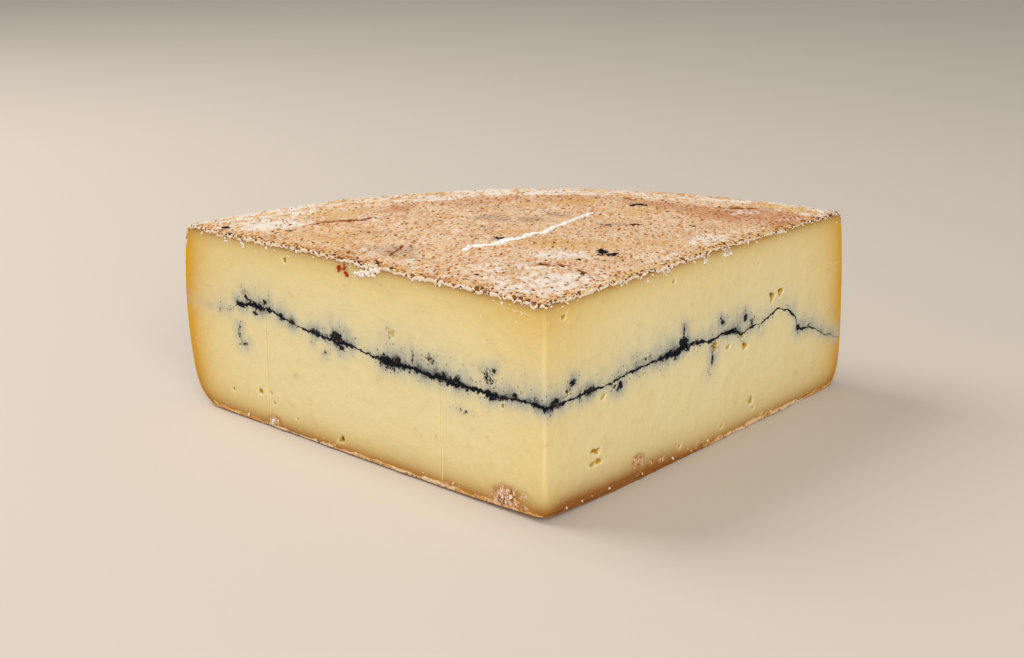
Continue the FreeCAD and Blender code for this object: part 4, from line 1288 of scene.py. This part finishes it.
def build_rind_side(sizes):
    """The rind round the side, from under the top's rim down to the foot."""
    across, up = unit_grid(rows=360, columns=88)
    points, turn, height = side_point(across, up)
    facing = level_out(turn)
    cut_gap = (HALF_TURN - abs(turn)) * WHEEL_RADIUS
    run = turn * WHEEL_RADIUS
    spots = flat(run, height)
    warp = run / (sizes.warp_pitch / MM) + 0.6 * noise(spots, 14, 501)
    weft = height / (sizes.weft_pitch / MM) + 0.5 * noise(spots, 16, 502)
    cloth = np.maximum(thread(warp), thread(weft))
    patchy = ease(-0.3, 0.4, noise(spots, 22, 503))
    folds = ease(0.8, 1, 1 - abs(noise(flat(run * 0.35, height), 7, 504)))
    pit = np.clip(dents(run, height, 3.4, 0.4, 0.3, 0.8, 505), 0, 1)
    out = 0.12 * cloth * patchy + 0.45 * noise(spots, 9, 506) + 0.25 * rough(spots, 2.6, 507)
    out -= 0.3 * folds * patchy + 0.6 * np.sqrt(pit)
    tuck = ease(0.985, 1, up)
    settle = ease(0, 4, cut_gap)
    out = out * settle * ease(0.93, 0.82, up) - 0.3 * tuck
    marks = {
        "bloom": 0.3 + 0.5 * noise(spots, 16, 508) + 0.25 * noise(spots, 6, 510) + 0.5 * ease(0.6, 0.95, up),
        "rust": 0.7 * ease(14, 1, height) + 0.8 * ease(-0.1, 0.5, noise(spots, 21, 509)) * ease(1, 0.7, up),
        "gold": 0.8 * ease(-0.1, 0.5, noise(spots, 17, 511)),
        "grey": 0.5 * ease(0.1, 0.6, noise(spots, 12, 512)),
        "pit": pit,
        "rim": 0.75,
        "warp": warp,
        "weft": weft,
        "cloth": 0.3 + 0.6 * patchy,
    }
    shell = Shell()
    index = shell.add(points + facing * out[..., None], edge=ease(1.5, 0.2, cut_gap), **marks)
    shell.join(grid_faces(index))
    loop = border(index)
    loop_across, loop_up = across.ravel()[loop], up.ravel()[loop]
    outward = np.zeros((loop.size, 3))
    outward[loop_across == 0] = cut_normal(RIGHT)
    outward[loop_across == 1] = cut_normal(LEFT)
    outward[(loop_up == 0) & (loop_across % 1 > 0)] = (0, 0, -1)
    outward[(loop_up == 1) & (loop_across % 1 > 0)] = (0, 0, 1)
    inward = -facing.reshape(-1, 3)[loop]
    ends = loop_across % 1 == 0
    proud = np.where(ends, 0.05, 0)
    lips = ((0.25, proud), (0.8, proud), (1, proud * 0), (1, proud * 0 - np.where(ends, 0.8, 0.1)))
    last = shell.rim(loop, inward, outward, np.where(ends, 0.7, 0.9), lips, edge=1)
    inner = inner_grid(rows=60, columns=18)
    outer_face, inner_turn, _ = side_point(*inner)
    shell.close(last, (loop_across, loop_up), outer_face - 1.3 * level_out(inner_turn), inner, -1)
    return shell


def foot_point(a, b):
    """A point of the rind under the foot."""
    share, turn = quarter_place(a, b)
    reach = share * (side_radius(turn, 0.7) + 0.25)
    x, y = level_place(turn, reach)
    lift = 0.7 * ease(0.985, 1, share)
    return place(turn, reach, base_height(x, y) + lift)


def build_rind_foot(sizes):
    """The rind under the foot: its broken edge shows along the bottom of both cuts."""
    a, b = unit_grid(rows=200, columns=200)
    points = rounded(foot_point(a, b))
    x, y = points[..., 0], points[..., 1]
    spots = flat(x, y)
    warp = x / (sizes.warp_pitch / MM) + 0.5 * noise(spots, 17, 601)
    weft = y / (sizes.weft_pitch / MM) + 0.5 * noise(spots, 17, 602)
    cloth = np.maximum(np.cos(math.pi * warp) ** 4, np.cos(math.pi * weft) ** 4)
    patchy = ease(-0.4, 0.3, noise(spots, 26, 603))
    pit = np.clip(dents(x, y, 4.2, 0.5, 0.4, 1.1, 604), 0, 1)
    dip = 0.18 * cloth * patchy + 0.25 * (1 + noise(spots, 12, 605)) + 0.1 * (1 + rough(spots, 2.5, 606)) / 2
    dip = np.maximum(0.42 - dip, 0) + 0.6 * np.sqrt(pit)
    dip = dip * ease(0, 0.02, 1 - np.maximum(a, b)) * ease(0, 0.02, np.minimum(a, b))
    shell = Shell()
    cut_gap = np.minimum(a, b) * WHEEL_RADIUS
    index = shell.add(
        points + np.stack([0 * dip, 0 * dip, dip], -1),
        bloom=0.35 + 0.5 * noise(spots, 20, 607),
        rust=0.35 + 0.4 * noise(spots, 14, 608),
        pit=pit,
        warp=warp,
        weft=weft,
        cloth=patchy,
        lip=0.6 * ease(1.2, 0, cut_gap),
    )
    shell.join(grid_faces(index)[:, ::-1])
    loop = border(index)[::-1]
    loop_a, loop_b = a.ravel()[loop], b.ravel()[loop]
    outward = np.where((loop_b == 0)[:, None], cut_normal(RIGHT), cut_normal(LEFT))
    outward[(loop_a == 0) & (loop_b == 0)] = (0, -1, 0)
    rim = (np.maximum(loop_a, loop_b) == 1) & (np.minimum(loop_a, loop_b) > 0)
    at = points.reshape(-1, 3)[loop]
    radial = at * (1, 1, 0) - (0, AXIS_Y, 0)
    outward[rim] = (radial / np.linalg.norm(radial, axis=1)[:, None])[rim]
    inward = np.tile((0.0, 0.0, 1.0), (loop.size, 1))
    reach = np.hypot(at[:, 0], at[:, 1] - AXIS_Y)
    thick = (loop_b == 0) * ease(78, 98, reach) * ease(152, 142, reach)
    dark = (loop_b == 0) * ease(96, 70, reach)
    left = (loop_a == 0) * ease(8, 20, reach)
    crumbly = np.maximum(0.75 * thick, 0.45 * left) + (0.6 - 0.3 * dark) * noise(at, 11, 614)
    uneven = 0.5 * noise(at, 6, 611) + 0.5 * noise(at, 1.8, 612)
    depth = np.maximum(0.9 + 0.7 * thick + 0.4 * left + uneven * (1 + 0.6 * thick), 0.5)
    lips = edge_lips(at, 613, np.where(rim, 0.05, 0.35 + 0.5 * thick))
    last = shell.rim(loop, inward, outward, depth, lips, lip=1, crumbly=crumbly, dark=dark, foot=1)
    inner = inner_grid(rows=30, columns=30)
    shell.close(last[::-1], (loop_a[::-1], loop_b[::-1]), foot_point(*inner) + (0, 0, 1.5), inner)
    return shell


# ---- The ash -------------------------------------------------------------------------------------


def build_ash(sizes):
    """The layer of ash: a thin wavy sheet between the cuts, whose edges show as the dark line."""
    dense = np.array([0, 0.3, 0.9, 2, 4, 7, 11, 17, 24, 32, 40])
    turn = np.radians(np.concatenate([dense, 90 - dense[::-1]]) - 45)[None, :]
    reach = 0.4 + np.linspace(0, 1, 380)[:, None] * between(160, 171, share_of(turn))
    share = ease(0, 1, share_of(turn))
    left, right = ash_height(LEFT, reach), ash_height(RIGHT, reach)
    height = between(left, right, share)
    spread = between(ash_breadth(LEFT, reach), ash_breadth(RIGHT, reach), share)
    middle = np.minimum(share_of(turn), 1 - share_of(turn)) * 2
    spots = place(turn, reach, height)
    height = height + 1.2 * noise(spots * (1, 1, 0), 26, 701) * ease(0.1, 0.6, middle)
    grit = np.clip(0.8 + 1.5 * noise(spots, 1.2, 702) + 0.9 * noise(spots, 3, 703), 0.05, 2.6)
    half = np.maximum(spread * sizes.ash_share * grit, 0.06) / 2
    half = between(half, 0.5, ease(0.05, 0.4, middle))
    at_cut = np.array([1, *[0] * (turn.size - 2), 1])
    proud = sizes.ash_proud / MM * (0.5 + 0.8 * noise(spots, 0.9, 704)) * at_cut * ease(0, 0.6, spread)
    proud = (proud - 0.3 * ease(0.75, 0.35, spread * grit) * at_cut) * ease(0.2, 2, reach)
    outward = np.where((turn > 0)[..., None], cut_normal(RIGHT), cut_normal(LEFT))
    middle_line = rounded(place(turn, reach, height)) + outward * proud[..., None]
    lift = np.zeros(middle_line.shape)
    lift[..., 2] = half
    shell = Shell()
    upper = shell.add(middle_line + lift)
    lower = shell.add(middle_line - lift)
    shell.join(grid_faces(upper)[:, ::-1], grid_faces(lower))
    shell.join(band(border(lower), border(upper))[:, ::-1])
    return shell


def ball():
    """The twelve points and twenty triangles of an icosahedron."""
    golden = (1 + 5**0.5) / 2
    corners = []
    for one, two in ((1, golden), (-1, golden), (1, -golden), (-1, -golden)):
        corners += [(0, one, two), (one, two, 0), (two, 0, one)]
    corners = np.array(corners) / math.hypot(1, golden)
    near = np.linalg.norm(corners[:, None] - corners[None], axis=-1) < 1.2
    faces = []
    for a in range(12):
        for b in range(a + 1, 12):
            for c in range(b + 1, 12):
                if near[a, b] and near[b, c] and near[a, c]:
                    turned = np.dot(np.cross(corners[b] - corners[a], corners[c] - corners[a]), corners[a])
                    faces.append((a, b, c) if turned > 0 else (a, c, b))
    return corners, np.array(faces)


BALL_POINTS, BALL_FACES = ball()


def add_lump(shell, draw, middle, size, stretch=1.0, **marks):
    """A small uneven lump, turned any way."""
    form = BALL_POINTS * draw.uniform(0.65, 1.25, (12, 1)) * (stretch, 1, draw.uniform(0.6, 1))
    turned = np.array(Euler(draw.uniform(0, math.tau, 3)).to_matrix())
    index = shell.add(form @ turned.T * size + middle, **marks)
    shell.join(index[BALL_FACES])


def add_fibre(shell, draw, start, run, length, thick, **marks):
    """A short curled thread of rind, pointed at its end."""
    steps, corners = 7, 5
    along = np.linspace(0, 1, steps)
    bend = np.cumsum(draw.normal(0, 0.16, (steps, 3)), axis=0) * length
    line = start + np.outer(along, run) * length + bend * along[:, None]
    around = np.arange(corners) / corners * math.tau
    first = np.cross(run, (0.3, 0.2, 1.0))
    first /= np.linalg.norm(first)
    second = np.cross(run, first)
    circle = np.cos(around)[:, None] * first + np.sin(around)[:, None] * second
    width = thick * (1 - 0.75 * along) * draw.uniform(0.8, 1.2, steps)
    index = shell.add(line[:, None] + circle[None] * width[:, None, None], **marks)
    wrapped = np.concatenate([index, index[:, :1]], axis=1)
    shell.join(grid_faces(wrapped.T)[:, ::-1])
    for ring, point, order in ((index[0], line[0] - np.array(run) * thick, 1), (index[-1], line[-1], -1)):
        tip = shell.add(point[None], **marks)[0]
        fan = np.stack([ring, np.roll(ring, -1), np.full(corners, tip)], axis=-1)
        shell.join(fan[:, ::order])


def on_cut(side, reach, height, out=0.0):
    """A point on a cut face, or a little out from it."""
    return place(side * HALF_TURN, reach, height) + cut_normal(side) * out


def height_on_cut(surface, side, reach):
    """Height of the wheel's upper side or underside at a place on a cut."""
    x, y = level_place(side * HALF_TURN, reach)
    return float(surface(np.array([x]), np.array([y]))[0])


def build_specks(sizes):
    """Loose specks of ash on both cuts: most lie near the line, and some near the blots."""
    draw = np.random.default_rng(801)
    shell = Shell()
    for number in range(sizes.speck_count):
        side = draw.choice((LEFT, RIGHT))
        blots = on_side(ASH_BLOTS, side)
        if number % 3:
            reach = draw.uniform(1, 150)
            height = float(ash_height(side, np.array([reach]))[0])
            height += draw.normal(0.3, 0.9 + 0.8 * float(ash_breadth(side, reach)))
        else:
            _, middle, up, half_reach, half_height, *_ = blots[draw.integers(len(blots))]
            reach = middle + draw.normal(0, 0.8 * half_reach)
            height = up + draw.normal(0, 0.8 * half_height)
        size = between(0.09, 0.27, draw.random() ** 2)
        add_lump(shell, draw, on_cut(side, reach, height, 0.01), size, draw.uniform(1, 1.7))
    return shell


def build_crumbs(sizes):
    """Crumbs and threads of rind along the edges of the rind, on the cuts and on the top."""
    draw = np.random.default_rng(901)
    shell = Shell()
    for number in range(sizes.crumb_count):
        side = draw.choice((LEFT, RIGHT))
        reach = draw.uniform(2, 168)
        if number % 4:
            height = height_on_cut(top_height, side, reach) - draw.gamma(2, 0.55) - 0.2
            kind = draw.choice((0, 0, 0, 1))
        else:
            height = height_on_cut(base_height, side, reach) + 0.8 + draw.gamma(1.5, 0.6)
            kind = draw.choice((0, 1, 1))
        size = between(0.12, 0.55, draw.random() ** 2.5)
        reach = min(reach, side_radius(side * HALF_TURN, height) - 2)
        add_lump(shell, draw, on_cut(side, reach, height, 0.1), size, draw.uniform(1, 1.8), kind=kind)
    for side, reach, height, size, kind, lumps in LARGE_CRUMBS:
        for _ in range(lumps):
            middle = on_cut(side, *(np.array([reach, height]) + draw.normal(0, 0.5 * size, 2)), 0.3 * size)
            add_lump(shell, draw, middle, size * draw.uniform(0.35, 0.75), draw.uniform(1, 1.6), kind=kind)
    for side, reach, count in HANGING:
        for _ in range(count):
            at = reach + draw.normal(0, 0.9)
            height = height_on_cut(top_height, side, at) - 1
            down = np.array([0.35 * draw.normal(), 0.35 * draw.normal(), -1]) + 0.3 * cut_normal(side)
            add_fibre(shell, draw, on_cut(side, at, height, 0.2), down / np.linalg.norm(down),
                      draw.uniform(1, 3), draw.uniform(0.1, 0.2), kind=0)
    return shell


# ---- Operators -----------------------------------------------------------------------------------


class CHEESE_OT_paste(bpy.types.Operator):
    """Makes the paste, with its eyes and creases and the ash's stain"""

    bl_idname = "cheese.paste"
    bl_label = "Paste"

    def execute(self, context):
        material = paste_material(context.scene.cheese_tints)
        build_paste().piece("cheese_paste", material, "paste", "paste")
        return {"FINISHED"}


class CHEESE_OT_rind_top(bpy.types.Operator):
    """Makes the cloth-marked rind on the top"""

    bl_idname = "cheese.rind_top"
    bl_label = "Rind on the Top"

    def execute(self, context):
        material = rind_material("cheese_rind_top", context.scene.cheese_tints)
        build_rind_top(context.scene.cheese_sizes).piece("rind_top", material, "rind")
        return {"FINISHED"}


class CHEESE_OT_rind_rest(bpy.types.Operator):
    """Makes the rind round the side and under the foot"""

    bl_idname = "cheese.rind_rest"
    bl_label = "Rind on the Side and Foot"

    def execute(self, context):
        material = rind_material("cheese_rind_side", context.scene.cheese_tints)
        build_rind_side(context.scene.cheese_sizes).piece("rind_side", material, "rind")
        build_rind_foot(context.scene.cheese_sizes).piece("rind_foot", material, "rind")
        return {"FINISHED"}


class CHEESE_OT_ash(bpy.types.Operator):
    """Makes the layer of ash and the loose specks beside it"""

    bl_idname = "cheese.ash"
    bl_label = "Ash"

    def execute(self, context):
        material = ash_material(context.scene.cheese_tints)
        build_ash(context.scene.cheese_sizes).piece("ash_sheet", material, "ash", "ash_layer")
        build_specks(context.scene.cheese_sizes).piece("ash_specks", material, "ash")
        return {"FINISHED"}


class CHEESE_OT_crumbs(bpy.types.Operator):
    """Makes the crumbs and threads of rind"""

    bl_idname = "cheese.crumbs"
    bl_label = "Crumbs"

    def execute(self, context):
        material = crumb_material(context.scene.cheese_tints)
        build_crumbs(context.scene.cheese_sizes).piece("rind_crumbs", material, "rind")
        return {"FINISHED"}


class CHEESE_OT_stage(bpy.types.Operator):
    """Makes the floor, the lights and the camera"""

    bl_idname = "cheese.stage"
    bl_label = "Stage"

    def execute(self, context):
        scene = context.scene
        studio = scene.cheese_studio
        middle = (cad_low + cad_high) / 2
        floor_size, floor_steps = 16, 8
        bpy.ops.mesh.primitive_grid_add(
            size=floor_size, x_subdivisions=floor_steps, y_subdivisions=floor_steps
        )
        floor = context.object
        floor.name = "floor"
        floor.data.materials.append(floor_material(scene.cheese_tints))

        world = bpy.data.worlds.new("studio")
        world.use_nodes = True
        backdrop = world.node_tree.nodes["Background"].inputs
        backdrop["Color"].default_value = (0.99, 0.99, 0.98, 1)
        backdrop["Strength"].default_value = studio.ambient
        scene.world = world
        behind_left, in_front = Vector((-0.8, 0.45, 1.0)), Vector((0.12, -1.4, 0.78))
        self.lamp(context, "key", studio.key, where=behind_left, size=0.8, middle=middle)
        self.lamp(context, "fill", studio.fill, where=in_front, size=1.0, middle=middle)

        ahead = Vector((
            math.sin(studio.turn) * math.cos(studio.tilt),
            math.cos(studio.turn) * math.cos(studio.tilt),
            -math.sin(studio.tilt),
        ))
        camera = bpy.data.objects.new("camera", bpy.data.cameras.new("camera"))
        scene.collection.objects.link(camera)
        camera.data.lens = studio.lens
        camera.data.clip_start = 0.01
        camera.location = middle + Vector((-studio.aim_left, 0, studio.aim_up)) - ahead * studio.distance
        upright = ahead.to_track_quat("-Z", "Y").to_euler()
        upright.rotate_axis("Z", -studio.roll)
        camera.rotation_euler = upright
        scene.camera = camera
        scene.view_settings.view_transform = "Standard"
        return {"FINISHED"}

    def lamp(self, context, name, power, where, size, middle):
        """A square soft light that faces the cheese."""
        light = bpy.data.lights.new(name, "AREA")
        light.energy = power
        light.size = size
        made = bpy.data.objects.new(name, light)
        made.location = where
        made.rotation_euler = (middle - where).to_track_quat("-Z", "Y").to_euler()
        context.scene.collection.objects.link(made)


class CHEESE_PT_panel(bpy.types.Panel):
    """Lists the steps that build the cheese"""

    bl_label = "Cheese"
    bl_space_type = "VIEW_3D"
    bl_region_type = "UI"
    bl_category = "Cheese"

    def draw(self, context):
        for step in STEPS:
            self.layout.operator(step.bl_idname)
        for group in ("cheese_sizes", "cheese_tints", "cheese_studio"):
            settings = getattr(context.scene, group)
            box = self.layout.box()
            for name in settings.__annotations__:
                box.prop(settings, name)


GROUPS = {"cheese_sizes": CheeseSizes, "cheese_tints": CheeseTints, "cheese_studio": CheeseStudio}
STEPS = (
    CHEESE_OT_paste, CHEESE_OT_rind_top, CHEESE_OT_rind_rest, CHEESE_OT_ash, CHEESE_OT_crumbs,
    CHEESE_OT_stage,
)


def register():
    for name, group in GROUPS.items():
        bpy.utils.register_class(group)
        setattr(bpy.types.Scene, name, bpy.props.PointerProperty(type=group))
    for made in (*STEPS, CHEESE_PT_panel):
        bpy.utils.register_class(made)


def unregister():
    for made in (CHEESE_PT_panel, *reversed(STEPS)):
        bpy.utils.unregister_class(made)
    for name, group in GROUPS.items():
        delattr(bpy.types.Scene, name)
        bpy.utils.unregister_class(group)


def main():
    """Builds every piece and the stage."""
    register()
    bpy.ops.cheese.paste()
    bpy.ops.cheese.rind_top()
    bpy.ops.cheese.rind_rest()
    bpy.ops.cheese.ash()
    bpy.ops.cheese.crumbs()
    bpy.ops.cheese.stage()


if __name__ == "__main__":
    main()
